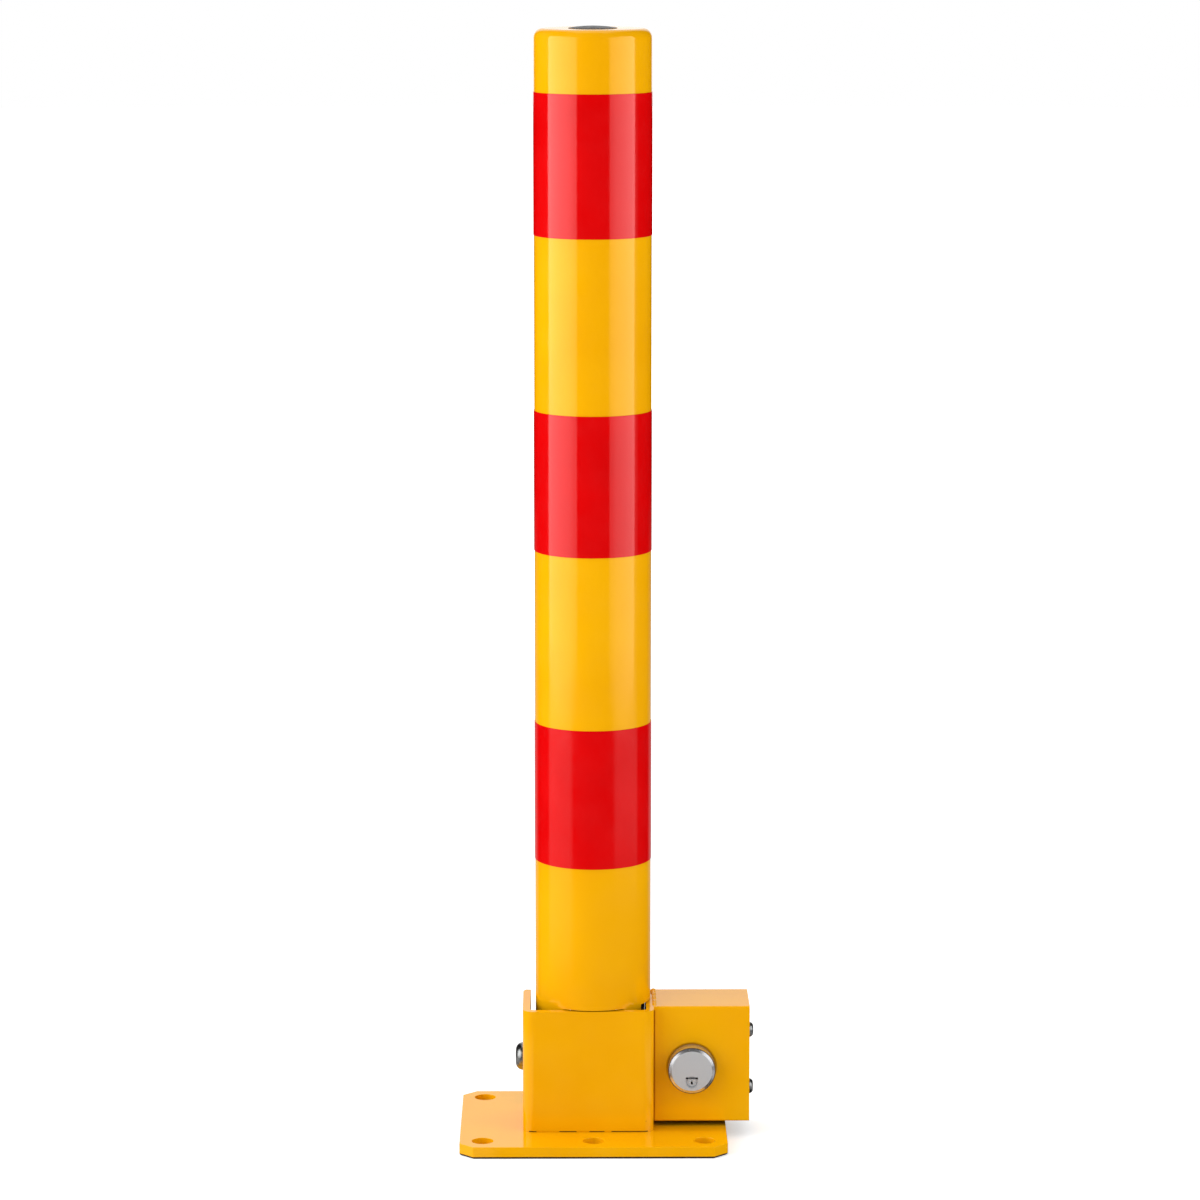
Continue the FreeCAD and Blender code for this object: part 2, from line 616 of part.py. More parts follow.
def make_spacers():
    inside, outside = "shaft_radius + running_clearance", "shaft_radius + spacer_wall"
    lug_face = "(lug_spacing / 2 + lug_thickness / 2)"
    left = ring("left_spacer", inside, outside, f"-{lug_face} - left_cheek_x - end_float",
                ("left_cheek_x + end_float", "hinge_y", "hinge_height"), ALONG_X)
    right = ring("right_spacer", inside, outside, f"right_cheek_x - end_float - {lug_face}",
                 (lug_face, "hinge_y", "hinge_height"), ALONG_X)
    return [left, right]


def make_red_bands():
    inside = "post_radius + band_glue"
    return [ring(label, inside, f"{inside} + band_film", "band_height",
                 ("0", "post_offset", f"post_top_z - band_drop - band_height - {index} * band_pitch"))
            for index, label in enumerate(("red_band_top", "red_band_middle", "red_band_low"))]


def make_lock_sleeve():
    """The cup that guides the barrel, with two latch windows below and the stop screw's hole."""
    pin_hole = "(pin_radius + running_clearance)"
    body = turned("lock_sleeve", [
        ("sleeve_bore + mouth_bevel", "0"), ("sleeve_radius", "0"), ("sleeve_radius", "sleeve_length"),
        (pin_hole, "sleeve_length"), (pin_hole, "sleeve_depth"), ("sleeve_bore", "sleeve_depth"),
        ("sleeve_bore", "mouth_bevel")],
        ("lock_x", "box_front_y", "hinge_height"), ALONG_Y)
    windows = new_sketch(body, "latch_windows", "XZ_Plane")
    side = "(latch_width / 2 + latch_play)"
    for pushed in ("0", "lock_travel"):
        start = f"(latch_front - lock_proud + {pushed})"
        draw_rectangle(windows, f"-{side}", side, f"{start} - latch_play",
                       f"{start} + latch_length + latch_play")
    add_pocket(body, windows)
    screw_hole = new_sketch(body, "stop_screw_hole", "YZ_Plane")
    draw_circle(screw_hole, "0", "barrel_inside - stop_rear", "stop_screw_diameter / 2 + fixed_clearance")
    add_pocket(body, screw_hole, forwards=True)
    return body


def make_stop_screw():
    tip_end = "(lock_radius - stop_groove_depth + stop_play)"
    shoulder = "(sleeve_bore + stop_play)"
    outer_end = "(sleeve_radius - stop_play)"
    tip, shank = "stop_tip / 2", "stop_screw_diameter / 2"
    return turned("stop_screw", [
        ("0", tip_end), (tip, tip_end), (tip, shoulder), (shank, shoulder), (shank, outer_end),
        ("0", outer_end)],
        ("lock_x", "box_front_y + barrel_inside - stop_rear", "hinge_height"), ALONG_X)


def make_lock_barrel():
    """The push barrel. Its own Z runs inwards from its face, and its own Y points down."""
    seat_end = "(barrel_length - spring_seat)"
    pin_hole = "(pin_radius + fixed_clearance)"
    body = turned("lock_barrel", [
        ("0", "0"), ("lock_radius - lock_bevel", "0"), ("lock_radius", "lock_bevel / 2"),
        ("lock_radius", "barrel_length"), ("spring_seat_radius", "barrel_length"),
        ("spring_seat_radius", seat_end), (pin_hole, seat_end), (pin_hole, f"{seat_end} - pin_seat"),
        ("0", f"{seat_end} - pin_seat")],
        ("lock_x", "box_front_y - lock_proud", "hinge_height"), ALONG_Y)
    recess = new_sketch(body, "key_recess", "XY_Plane")
    half = "key_recess_width / 2"
    draw_rectangle(recess, f"-{half}", half, "key_drop - key_recess_top", "key_drop")
    add_pocket(body, recess, "key_recess_depth", forwards=True)
    round_end = new_sketch(body, "key_recess_end", "XY_Plane")
    draw_circle(round_end, "0", "key_drop", half)
    add_pocket(body, round_end, "key_recess_depth", forwards=True)
    bore = new_sketch(body, "plug_bore", "XY_Plane")
    draw_circle(bore, "0", "key_drop", "key_plug_radius + running_clearance")
    add_pocket(body, bore, "latch_front", forwards=True)
    pocket = new_sketch(body, "latch_pocket", "XZ_Plane", "-(latch_top - latch_play)")
    side = "(latch_width / 2 + latch_play)"
    draw_rectangle(pocket, f"-{side}", side, "latch_front - latch_play",
                   "latch_front + latch_length + latch_play")
    add_pocket(body, pocket)
    groove = new_sketch(body, "stop_groove", "YZ_Plane", "lock_radius - stop_groove_depth")
    reach = "(stop_tip / 2 + stop_play)"
    stop = "(barrel_length - stop_rear)"
    draw_rectangle(groove, f"-{reach}", reach, f"{stop} - lock_travel - {reach}", f"{stop} + {reach}")
    add_pocket(body, groove, forwards=True)
    return body


def make_lock_pin():
    start = "(barrel_length - spring_seat - pin_seat + fixed_clearance)"
    return turned("lock_pin", [
        ("0", start), ("pin_radius", start), ("pin_radius", "lock_proud + sleeve_length"),
        ("0", "lock_proud + sleeve_length")],
        ("lock_x", "box_front_y - lock_proud", "hinge_height"), ALONG_Y)


def make_lock_spring():
    """The coil spring between the barrel and the sleeve's floor, round the locking pin."""
    body = new_body("lock_spring")
    section = new_sketch(body, "wire", "XZ_Plane")
    wire = "spring_wire / 2"
    draw_circle(section, f"spring_inside + {wire}", f"{wire} + spring_play", wire)
    coil = body.newObject("PartDesign::AdditiveHelix", "lock_spring_coil")
    coil.Profile = section
    coil.ReferenceAxis = (section, ["V_Axis"])
    coil.Mode = "height-turns-angle"
    coil.setExpression("Height", sized("spring_length - spring_wire - 2 * spring_play"))
    coil.setExpression("Turns", sized("spring_turns"))
    place(body, ("lock_x", "box_front_y + barrel_inside - spring_seat", "hinge_height"), ALONG_Y)
    return body


def make_key_plug():
    """The key plug with its keyhole in front and the eccentric drive pin on its tail."""
    tail = "(latch_front - latch_play)"
    body = turned("key_plug", [
        ("0", "key_recess_depth"), ("key_plug_radius", "key_recess_depth"),
        ("key_plug_radius", tail), ("0", tail)],
        ("lock_x", "box_front_y - lock_proud", "hinge_height - key_drop"), ALONG_Y)
    pin = new_sketch(body, "drive_pin", "XY_Plane", tail)
    draw_circle(pin, "latch_travel", "0", "drive_pin / 2")
    add_pad(body, pin, "latch_length / 2 + latch_play")
    keyway = new_sketch(body, "keyway", "XY_Plane", "key_recess_depth")
    draw_rectangle(keyway, "-keyway_width / 2", "keyway_width / 2",
                   "-keyway_height / 2", "keyway_height / 2")
    add_pocket(body, keyway, "keyway_depth", forwards=True)
    return body


def make_lock_latch():
    """The latch that the key plug drives down, out of the barrel and into the sleeve's window."""
    body = new_body("lock_latch")
    block = new_sketch(body, "block", "XY_Plane", "latch_front")
    draw_rectangle(block, "-latch_width / 2", "latch_width / 2", "latch_top", "latch_bottom")
    add_pad(body, block, "latch_length")
    slot = new_sketch(body, "slot", "XY_Plane", "latch_front")
    high = "(drive_pin / 2 + drive_play)"
    wide = "(latch_travel + drive_pin / 2 + drive_play)"
    draw_rectangle(slot, f"-{wide}", wide, f"key_drop - {high}", f"key_drop + {high}")
    add_pocket(body, slot, forwards=True)
    place(body, ("lock_x", "box_front_y - lock_proud", "hinge_height"), ALONG_Y)
    return body


def make_all():
    return [
        make_base_plate(), make_hinge_bracket(), make_lock_box(), make_box_cover(), make_cover_bar(),
        make_cover_screws(), make_lock_sleeve(), make_stop_screw(),
        make_post_tube(), make_top_plug(), make_foot_plate(),
        make_lug("left_lug", -1), make_lug("right_lug", 1), make_lug_pins(),
        make_hinge_shaft(), make_circlip(), *make_spacers(), *make_red_bands(),
        pan_screw("shaft_screw", "shaft_screw", ("shaft_left_x", "hinge_y", "hinge_height"), AGAINST_X),
        make_lock_barrel(), make_lock_pin(), make_lock_spring(), make_key_plug(), make_lock_latch()]


pieces = make_all()
doc.recompute()
for item in doc.Objects:
    if "Invalid" in item.State or "Error" in item.State:
        raise RuntimeError(f"{item.Name} failed: {item.State}")
for piece in pieces:
    if piece.Shape.isNull() or not piece.Shape.isValid() or not piece.Shape.Solids:
        raise RuntimeError(f"{piece.Label} has no valid solid")
os.makedirs("parts", exist_ok=True)
for piece in pieces:
    piece.Shape.exportStep(f"parts/{piece.Label}.step")
    print(piece.Label, len(piece.Shape.Solids), round(piece.Shape.Volume, 2))
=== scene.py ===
# %% [markdown]
# # A folding parking bollard, finished in Blender
# The bollard is a yellow steel post with three red bands. It stands on a hinge in a folded bracket,
# on a bolted plate, with a key lock in a box at its side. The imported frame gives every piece's place and
# every moving body. This lesson sets the camera and the light, mixes the finishes, and then models the
# pieces that show, each by the operators that one would use by hand.

# %% Load the frame
import json
import math

import bpy
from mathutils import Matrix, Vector


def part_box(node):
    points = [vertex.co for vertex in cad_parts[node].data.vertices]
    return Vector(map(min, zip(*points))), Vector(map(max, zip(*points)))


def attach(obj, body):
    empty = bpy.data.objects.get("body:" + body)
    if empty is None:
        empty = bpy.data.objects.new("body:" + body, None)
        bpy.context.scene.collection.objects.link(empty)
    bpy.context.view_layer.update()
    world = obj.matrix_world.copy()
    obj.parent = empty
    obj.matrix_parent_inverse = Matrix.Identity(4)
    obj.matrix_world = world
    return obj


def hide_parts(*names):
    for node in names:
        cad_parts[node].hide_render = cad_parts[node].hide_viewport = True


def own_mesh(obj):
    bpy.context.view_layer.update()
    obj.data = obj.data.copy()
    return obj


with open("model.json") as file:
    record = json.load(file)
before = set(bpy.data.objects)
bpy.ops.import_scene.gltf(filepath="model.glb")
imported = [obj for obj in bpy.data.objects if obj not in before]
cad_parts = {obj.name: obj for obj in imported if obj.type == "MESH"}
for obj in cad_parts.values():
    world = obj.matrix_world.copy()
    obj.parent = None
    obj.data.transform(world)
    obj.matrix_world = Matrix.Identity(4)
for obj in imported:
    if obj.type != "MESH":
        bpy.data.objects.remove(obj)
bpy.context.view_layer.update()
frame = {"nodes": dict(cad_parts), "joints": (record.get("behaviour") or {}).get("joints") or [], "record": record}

MM = 0.001

# %% [markdown]
# ## Measures from the frame
# Each piece that is modelled here takes its place from the box of the node that it stands for, so it
# follows when a new model.glb moves or stretches that node. A box gives two opposite corners. The axis of a
# round piece is the middle of its box. Sizes that a box can't tell, such as a wall, are named beside the
# piece.

# %% Read the boxes
def corners(node):
    """A node's lowest and highest corner as vectors, in metres."""
    low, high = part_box(node)
    return Vector(low), Vector(high)


def middle(node):
    low, high = corners(node)
    return (low + high) / 2


def half_width(node, axis="x"):
    """Half of a node's extent along an axis. For a round piece it is the radius."""
    low, high = corners(node)
    return (getattr(high, axis) - getattr(low, axis)) / 2


POST_LOW, POST_HIGH = corners("post_tube")
PLATE_LOW, PLATE_HIGH = corners("base_plate")
BRACKET_LOW, BRACKET_HIGH = corners("hinge_bracket")
BOX_LOW, BOX_HIGH = corners("lock_box")
POST_AXIS = middle("post_tube")
POST_RADIUS = half_width("post_tube")
HINGE = Vector(next(joint for joint in frame["joints"] if joint["name"] == "post_fold")["pos_m"])
LOCK_AXIS = middle("lock_barrel")
print("post radius", round(POST_RADIUS, 4), "hinge", [round(v, 4) for v in HINGE])

# %% [markdown]
# ## The camera
# The picture was taken from almost straight in front, about 2.8 m away and a little above the post's top,
# through a long lens. The place, the tilt and the lens were worked out from the picture: the plate's
# corners, the band edges and the post's width have to land where they are seen. A camera in Blender looks
# along its own -Z, so a tilt of a right angle looks level and anything less looks down.

# %% Place the camera
CAMERA_PLACE = (-0.0179, -2.8423, 0.8379)
LOOK_DOWN = math.radians(9.598)
LOOK_RIGHT = math.radians(0.453)
LENS = 132.8
SEES_AS_FAR_AS = 50

bpy.ops.object.camera_add(location=CAMERA_PLACE, rotation=(math.pi / 2 - LOOK_DOWN, 0, -LOOK_RIGHT))
camera = bpy.context.object
camera.data.lens = LENS
camera.data.clip_end = SEES_AS_FAR_AS
bpy.context.scene.camera = camera
print("camera at", CAMERA_PLACE, "lens", LENS)

# %% [markdown]
# ## Nodes in few words
# Lamps, the world and finishes are all mixed from nodes. In the node editor one would drag each link by
# hand. A few short functions do the same here: one feeds a socket from another socket or with a plain
# value, and each of the others adds a node and gives back what comes out of it.

# %% Helpers for nodes
def feed(tree, source, socket):
    """Link one socket to another, or set it to a plain number, vector or colour."""
    if isinstance(source, (int, float, tuple)):
        socket.default_value = source
    else:
        tree.links.new(source, socket)


def reckon(tree, operation, *values):
    """One step of arithmetic on sockets and numbers."""
    result = tree.nodes.new("ShaderNodeMath")
    result.operation = operation
    for value, socket in zip(values, result.inputs):
        feed(tree, value, socket)
    return result.outputs["Value"]


def times(tree, first, second):
    return reckon(tree, "MULTIPLY", first, second)


def plus(tree, first, second):
    return reckon(tree, "ADD", first, second)


def vector_step(tree, operation, *vectors):
    """One step of arithmetic on vectors. Its outputs are a Vector and a Value."""
    result = tree.nodes.new("ShaderNodeVectorMath")
    result.operation = operation
    for vector, socket in zip(vectors, result.inputs):
        feed(tree, vector, socket)
    return result.outputs


def axes(tree, vector):
    """A vector's shares along X, Y and Z."""
    split = tree.nodes.new("ShaderNodeSeparateXYZ")
    tree.links.new(vector, split.inputs["Vector"])
    return split.outputs


def ramp(tree, value, start, end, low, high):
    """Map a value from one range to another, and hold it at the ends."""
    reach = tree.nodes.new("ShaderNodeMapRange")
    names = ("Value", "From Min", "From Max", "To Min", "To Max")
    for name, source in zip(names, (value, start, end, low, high)):
        feed(tree, source, reach.inputs[name])
    return reach.outputs["Result"]


def choose_by(tree, ray, otherwise, value):
    """One value for a kind of ray and another for the rest."""
    choice = tree.nodes.new("ShaderNodeMix")
    for name, source in (("Factor", ray), ("A", otherwise), ("B", value)):
        feed(tree, source, choice.inputs[name])
    return choice.outputs["Result"]


WHITE = (1, 1, 1, 1)
print("node helpers ready")

# %% [markdown]
# ## Light from two tall panels
# The long bright stripes on the post are the mirror images of two tall soft panels, one on each side of
# the camera. On a round post a stripe shows where the normal points half way between the eye and the
# panel, so the stripes' edges give the panels' angles: about 31 to 96 degrees on the left and 32 to 88 on
# the right. Each panel is an area lamp. A lamp's radiance is its power over pi times its area, so the power
# is worked out from the radiance that is wanted. The stripes are brighter on their outer sides and dimmer
# towards the foot, so the lamp gets a gradient each way.

# %% Hang the two panels
PANEL_DISTANCE = 1.5
PANEL_HEIGHT = 1.75
PANEL_FOOT = -0.2
PANEL_FOOT_SHARE = 0.4
PANEL_FADE_END = 0.45


def hang_panel(name, side, inner_angle, outer_angle, radiance, inner_share):
    """A tall area lamp beside the camera, between two angles from the camera's direction."""
    angle = math.radians(inner_angle + outer_angle) / 2
    place = Vector((side * math.sin(angle), -math.cos(angle), 0)) * PANEL_DISTANCE
    place.z = PANEL_FOOT + PANEL_HEIGHT / 2
    bpy.ops.object.light_add(type="AREA", location=place, rotation=(math.pi / 2, 0, side * angle))
    bpy.context.object.name = name
    lamp = bpy.context.object.data
    lamp.shape = "RECTANGLE"
    lamp.size = 2 * PANEL_DISTANCE * math.tan(math.radians(outer_angle - inner_angle) / 2)
    lamp.size_y = PANEL_HEIGHT
    lamp.energy = radiance * math.pi * lamp.size * lamp.size_y
    lamp.use_nodes = True
    tree = lamp.node_tree
    spot = axes(tree, tree.nodes.new("ShaderNodeNewGeometry").outputs["Parametric"])
    shares = (inner_share, 1) if side > 0 else (1, inner_share)
    across = ramp(tree, spot["X"], 0, 1, *shares)
    upwards = ramp(tree, spot["Y"], 0, PANEL_FADE_END, PANEL_FOOT_SHARE, 1)
    tree.links.new(times(tree, across, upwards), tree.nodes["Emission"].inputs["Strength"])
    print(name, "width", round(lamp.size, 3), "power", round(lamp.energy, 1))


hang_panel("left_panel", side=-1, inner_angle=31.5, outer_angle=96, radiance=3.0, inner_share=0.45)
hang_panel("right_panel", side=1, inner_angle=32, outer_angle=88, radiance=2.7, inner_share=0.35)

# %% [markdown]
# ## White surroundings
# The background is plain white, so for the camera the world is white all round. The soft fill light is
# stronger from the left and from above, and weaker from the right and in front. What glossy faces mirror is
# something else again: a narrow white sweep behind the object, brighter near the horizon, and a dark camera
# side. The plate's top mirrors the sweep and turns pale, and the faces that look at the camera keep their
# full colour. Real screens could do this, but each would light everything at once. A shader can ask which
# kind of ray it answers, so one world holds all three.

# %% Make the world
SWEEP_LIGHT = 0.85
SWEEP_EDGE = 0.36
SWEEP_FULL = 0.2
LEVEL_SWEEP = 1.4
LEVEL_BAND = (0.04, 0.12)
FILL_LEFT = 1.0
FILL_RIGHT = 0.28
FILL_ABOVE = 2
FILL_FRONT = 0.45


def white_world():
    world = bpy.data.worlds.new("white_sweep")
    bpy.context.scene.world = world
    world.use_nodes = True
    world.cycles.sampling_method = "NONE"
    tree = world.node_tree
    ray = tree.nodes.new("ShaderNodeLightPath").outputs
    towards = axes(tree, tree.nodes.new("ShaderNodeTexCoord").outputs["Generated"])
    across = ramp(tree, towards["X"], -1, 1, FILL_LEFT, FILL_RIGHT)
    above = ramp(tree, towards["Z"], 0, 1, 1, FILL_ABOVE)
    front = ramp(tree, towards["Y"], -1, 0, FILL_FRONT, 1)
    fill = times(tree, across, times(tree, above, front))
    width = ramp(tree, reckon(tree, "ABSOLUTE", towards["X"]), SWEEP_EDGE, SWEEP_FULL, 0, SWEEP_LIGHT)
    level = ramp(tree, towards["Z"], *LEVEL_BAND, LEVEL_SWEEP, 1)
    behind = reckon(tree, "GREATER_THAN", towards["Y"], 0)
    sweep = choose_by(tree, behind, 0, times(tree, width, level))
    light = choose_by(tree, ray["Is Glossy Ray"], fill, sweep)
    background = tree.nodes["Background"].inputs
    background["Color"].default_value = WHITE
    tree.links.new(choose_by(tree, ray["Is Camera Ray"], light, 1), background["Strength"])
    print(world.name)


white_world()
bpy.context.scene.view_settings.view_transform = "Standard"

# %% [markdown]
# ## The floor
# The floor is a large pale disc. A little of its own light for the camera brings it to white, and its
# shading still carries the shadow. The camera looks down, so upright faces mirror the floor. For them it is
# pale behind, close by on both sides and far out below the panels, and dark elsewhere, so the post's middle
# stays deep and its sides are lit.

# %% Make the floor
FLOOR_RADIUS = 12
FLOOR_SIDES = 96
FLOOR_ROUGH = 0.9
FLOOR_GREY = 0.8
FLOOR_REACH = (0.3, 2.5)
FLOOR_LIFT = (0.4, 1.0)
BEHIND = (0.72, 0.92)
BEHIND_REACH = (0.8, 3)
MIRRORED_BEHIND = 0.35
IN_FRONT = (0.05, 0.15)
LEFT_ASIDE = (-0.62, -0.72)
LEFT_REACH = (0.45, 0.62)
MIRRORED_LEFT = 0.3
RIGHT_ASIDE = (0.62, 0.72)
RIGHT_REACH = (0.66, 0.95)
MIRRORED_RIGHT = 0.24
CLOSE_LEFT = (-0.06, -0.07)
CLOSE_RIGHT = (0.125, 0.14)
CLOSE_REACH = (0.26, 0.34)
MIRRORED_CLOSE = 0.38


def mirrored_floor(tree, place, away):
    """The floor as the object mirrors it: pale behind, close by and far out below the panels."""
    heading = axes(tree, vector_step(tree, "NORMALIZE", place)["Vector"])
    behind = times(tree, ramp(tree, heading["Y"], *BEHIND, 0, MIRRORED_BEHIND),
                   ramp(tree, away, *BEHIND_REACH, 1, 0))
    left = times(tree, ramp(tree, heading["X"], *LEFT_ASIDE, 0, MIRRORED_LEFT),
                 ramp(tree, away, *LEFT_REACH, 0, 1))
    right = times(tree, ramp(tree, heading["X"], *RIGHT_ASIDE, 0, MIRRORED_RIGHT),
                  ramp(tree, away, *RIGHT_REACH, 0, 1))
    beside = times(tree, plus(tree, left, right), ramp(tree, heading["Y"], *IN_FRONT, 1, 0))
    across = axes(tree, place)["X"]
    sides = plus(tree, ramp(tree, across, *CLOSE_LEFT, 0, MIRRORED_CLOSE),
                 ramp(tree, across, *CLOSE_RIGHT, 0, MIRRORED_CLOSE))
    close = times(tree, sides, ramp(tree, away, *CLOSE_REACH, 1, 0))
    return plus(tree, close, plus(tree, behind, beside))


def pale_floor():
    bpy.ops.object.select_all(action="DESELECT")
    bpy.ops.mesh.primitive_circle_add(vertices=FLOOR_SIDES, radius=FLOOR_RADIUS, fill_type="NGON")
    floor = bpy.context.object
    floor.name = "floor"
    material = bpy.data.materials.new("pale_floor")
    material.use_nodes = True
    tree = material.node_tree
    shader = tree.nodes["Principled BSDF"].inputs
    shader["Roughness"].default_value = FLOOR_ROUGH
    shader["Specular IOR Level"].default_value = 0
    shader["Emission Color"].default_value = WHITE
    ray = tree.nodes.new("ShaderNodeLightPath").outputs
    place = tree.nodes.new("ShaderNodeTexCoord").outputs["Object"]
    away = vector_step(tree, "LENGTH", place)["Value"]
    glow = ramp(tree, away, *FLOOR_REACH, *FLOOR_LIFT)
    tree.links.new(times(tree, glow, ray["Is Camera Ray"]), shader["Emission Strength"])
    grey = choose_by(tree, ray["Is Glossy Ray"], FLOOR_GREY, mirrored_floor(tree, place, away))
    tree.links.new(grey, shader["Base Color"])
    floor.data.materials.append(material)
    print(floor.name, "of radius", FLOOR_RADIUS)


pale_floor()

# %% [markdown]
# ## Mixing a finish
# Every finish starts from the Principled shader. Its detail comes from noise on Object coordinates, which
# are metres in the frame, so a scale of 400 gives grain about 2.5 mm wide on any piece. A picture would
# need each piece unwrapped first, and noise doesn't. Small helpers keep the mixing readable: one adds a
# noise, one spreads it between two values, one tints the colour with it, one varies the gloss and one turns
# it into relief.

# %% Helpers for finishes
def srgb(red, green, blue):
    """A colour as a screen shows it, 0 to 255, as the linear colour that a shader takes."""
    def linear(level):
        share = level / 255
        return share / 12.92 if share <= 0.04045 else ((share + 0.055) / 1.055) ** 2.4
    return (linear(red), linear(green), linear(blue), 1)


class Finish:
    """A material with its Principled shader and a few short ways to add detail."""

    def __init__(self, name, colour, roughness, metallic=0, refraction=1.5, tint=WHITE):
        self.material = bpy.data.materials.new(name)
        self.material.use_nodes = True
        self.tree = self.material.node_tree
        self.shader = self.tree.nodes["Principled BSDF"].inputs
        for socket, value in (("Base Color", colour), ("Roughness", roughness), ("Metallic", metallic),
                              ("IOR", refraction), ("Specular Tint", tint)):
            self.shader[socket].default_value = value
        self.place = self.tree.nodes.new("ShaderNodeTexCoord").outputs["Object"]
        self.height = None

    def noise(self, scale, detail=2):
        grain = self.tree.nodes.new("ShaderNodeTexNoise")
        grain.inputs["Scale"].default_value = scale
        grain.inputs["Detail"].default_value = detail
        self.tree.links.new(self.place, grain.inputs["Vector"])
        return grain.outputs["Fac"]

    def cells(self, scale):
        """How far it is to the nearest of many scattered points."""
        crystal = self.tree.nodes.new("ShaderNodeTexVoronoi")
        crystal.inputs["Scale"].default_value = scale
        self.tree.links.new(self.place, crystal.inputs["Vector"])
        return crystal.outputs["Distance"]

    def rings(self, axis, scale):
        """Noise on the distance from an axis that runs from front to back."""
        centre = self.tree.nodes.new("ShaderNodeMapping")
        centre.inputs["Location"].default_value = (-axis.x, 0, -axis.z)
        self.tree.links.new(self.place, centre.inputs["Vector"])
        flat = vector_step(self.tree, "MULTIPLY", centre.outputs["Vector"], (1, 0, 1))["Vector"]
        grain = self.tree.nodes.new("ShaderNodeTexNoise")
        grain.noise_dimensions = "1D"
        grain.inputs["Scale"].default_value = scale
        self.tree.links.new(vector_step(self.tree, "LENGTH", flat)["Value"], grain.inputs["W"])
        return grain.outputs["Fac"]

    def spread(self, value, low, high, start=0.3, end=0.7):
        """Map a noise from its usual range to low and high."""
        return ramp(self.tree, value, start, end, low, high)

    def mix(self, value, first, second):
        """A colour between two colours or sockets."""
        blend = self.tree.nodes.new("ShaderNodeMix")
        blend.data_type = "RGBA"
        self.tree.links.new(value, blend.inputs["Factor"])
        colours = [socket for socket in blend.inputs if socket.type == "RGBA"]
        for colour, socket in zip((first, second), colours):
            feed(self.tree, colour, socket)
        return next(socket for socket in blend.outputs if socket.type == "RGBA")

    def colour(self, socket):
        self.tree.links.new(socket, self.shader["Base Color"])

    def tone(self, value, dark, light):
        """Let the colour wander between two shades."""
        self.colour(self.mix(self.spread(value, 0, 1), dark, light))

    def gloss(self, value, low, high):
        """Let the roughness wander between two values."""
        self.tree.links.new(self.spread(value, low, high), self.shader["Roughness"])

    def relief(self, value, depth):
        """Bump of a depth in metres. Several can be laid over each other."""
        bump = self.tree.nodes.new("ShaderNodeBump")
        bump.inputs["Strength"].default_value = 1
        bump.inputs["Distance"].default_value = depth
        self.tree.links.new(value, bump.inputs["Height"])
        if self.height is not None:
            self.tree.links.new(self.height, bump.inputs["Normal"])
        self.height = bump.outputs["Normal"]
        self.tree.links.new(self.height, self.shader["Normal"])


print("finish helpers ready")

# %% [markdown]
# ## Yellow powder coat
# The steel is powder coated in traffic yellow: a thick glossy skin that flows a little as it melts. Close
# up it has orange peel, gentle waves a few millimetres wide, and now and then a dust nib baked in. The
# gloss varies slightly from place to place, and so does the thickness, which shows as a faint change of
# the colour. Noise makes the waves and the changes, and scattered points thinned out by another noise make
# the nibs.

# %% Mix the yellow coat
YELLOW = Finish("yellow_powder_coat", srgb(242, 172, 3), roughness=0.12, refraction=1.75,
                tint=srgb(255, 225, 165))
drift = YELLOW.spread(YELLOW.noise(scale=14), low=0, high=1)
coat = YELLOW.mix(drift, srgb(240, 168, 2), srgb(246, 178, 4))
speck = YELLOW.spread(YELLOW.cells(scale=55), low=1, high=0, start=0.012, end=0.03)
rare = YELLOW.spread(YELLOW.noise(scale=9), low=0, high=1, start=0.6, end=0.66)
nibs = times(YELLOW.tree, speck, rare)
YELLOW.colour(YELLOW.mix(nibs, coat, srgb(150, 92, 20)))
YELLOW.gloss(YELLOW.noise(scale=60), low=0.09, high=0.15)
YELLOW.relief(YELLOW.noise(scale=420, detail=1), depth=0.012 * MM)
YELLOW.relief(nibs, depth=0.1 * MM)
print(YELLOW.material.name)

# %% [markdown]
# ## Red film
# The bands are a smooth adhesive film. It is glossier than the paint, and it follows the paint's waves only
# softly, so its relief is wider and lower. A faint change of gloss shows where it was rubbed down.

# %% Mix the red film
RED = Finish("red_band_film", srgb(218, 4, 6), roughness=0.1, refraction=1.8, tint=srgb(255, 190, 190))
RED.tone(RED.noise(scale=25), srgb(214, 3, 5), srgb(222, 6, 8))
RED.gloss(RED.noise(scale=70), low=0.07, high=0.13)
RED.relief(RED.noise(scale=160, detail=1), depth=0.01 * MM)
print(RED.material.name)

# %% [markdown]
# ## Metals and rubber
# The screws, the hinge's small parts and the spring are zinc plated: grey, with dull and bright patches. The
# latch is plain oiled steel. Where the coat doesn't reach, the steel is bare, with its dark mill scale. The
# same dark finish is also put where shade falls, as painted shade. The lock's face is turned on a lathe, so
# its satin comes from fine rings round its own axis, and its bevelled rim is softly polished. The plug in the
# post's top is black rubber with a fine grain. The rings are noise on the distance from the lock's axis, and
# all the other grain is plain noise.

# %% Mix the metals and the rubber
ZINC = Finish("zinc_plated_steel", srgb(170, 172, 172), roughness=0.32, metallic=1)
patches = ZINC.noise(scale=300, detail=4)
ZINC.tone(patches, srgb(132, 134, 134), srgb(190, 192, 190))
ZINC.gloss(patches, low=0.22, high=0.42)
ZINC.relief(ZINC.noise(scale=900), depth=0.02 * MM)

STEEL = Finish("oiled_steel", srgb(120, 118, 114), roughness=0.38, metallic=1)
patches = STEEL.noise(scale=180, detail=5)
STEEL.tone(patches, srgb(92, 90, 87), srgb(142, 140, 136))
STEEL.gloss(patches, low=0.3, high=0.5)

# Dark bare steel, used where the coat doesn't reach and also as painted shade.
BARE_AND_SHADE = Finish("bare_steel_and_painted_shade", srgb(62, 40, 20), roughness=0.8)
BARE_AND_SHADE.tone(BARE_AND_SHADE.noise(scale=400, detail=4), srgb(46, 30, 16), srgb(84, 54, 24))

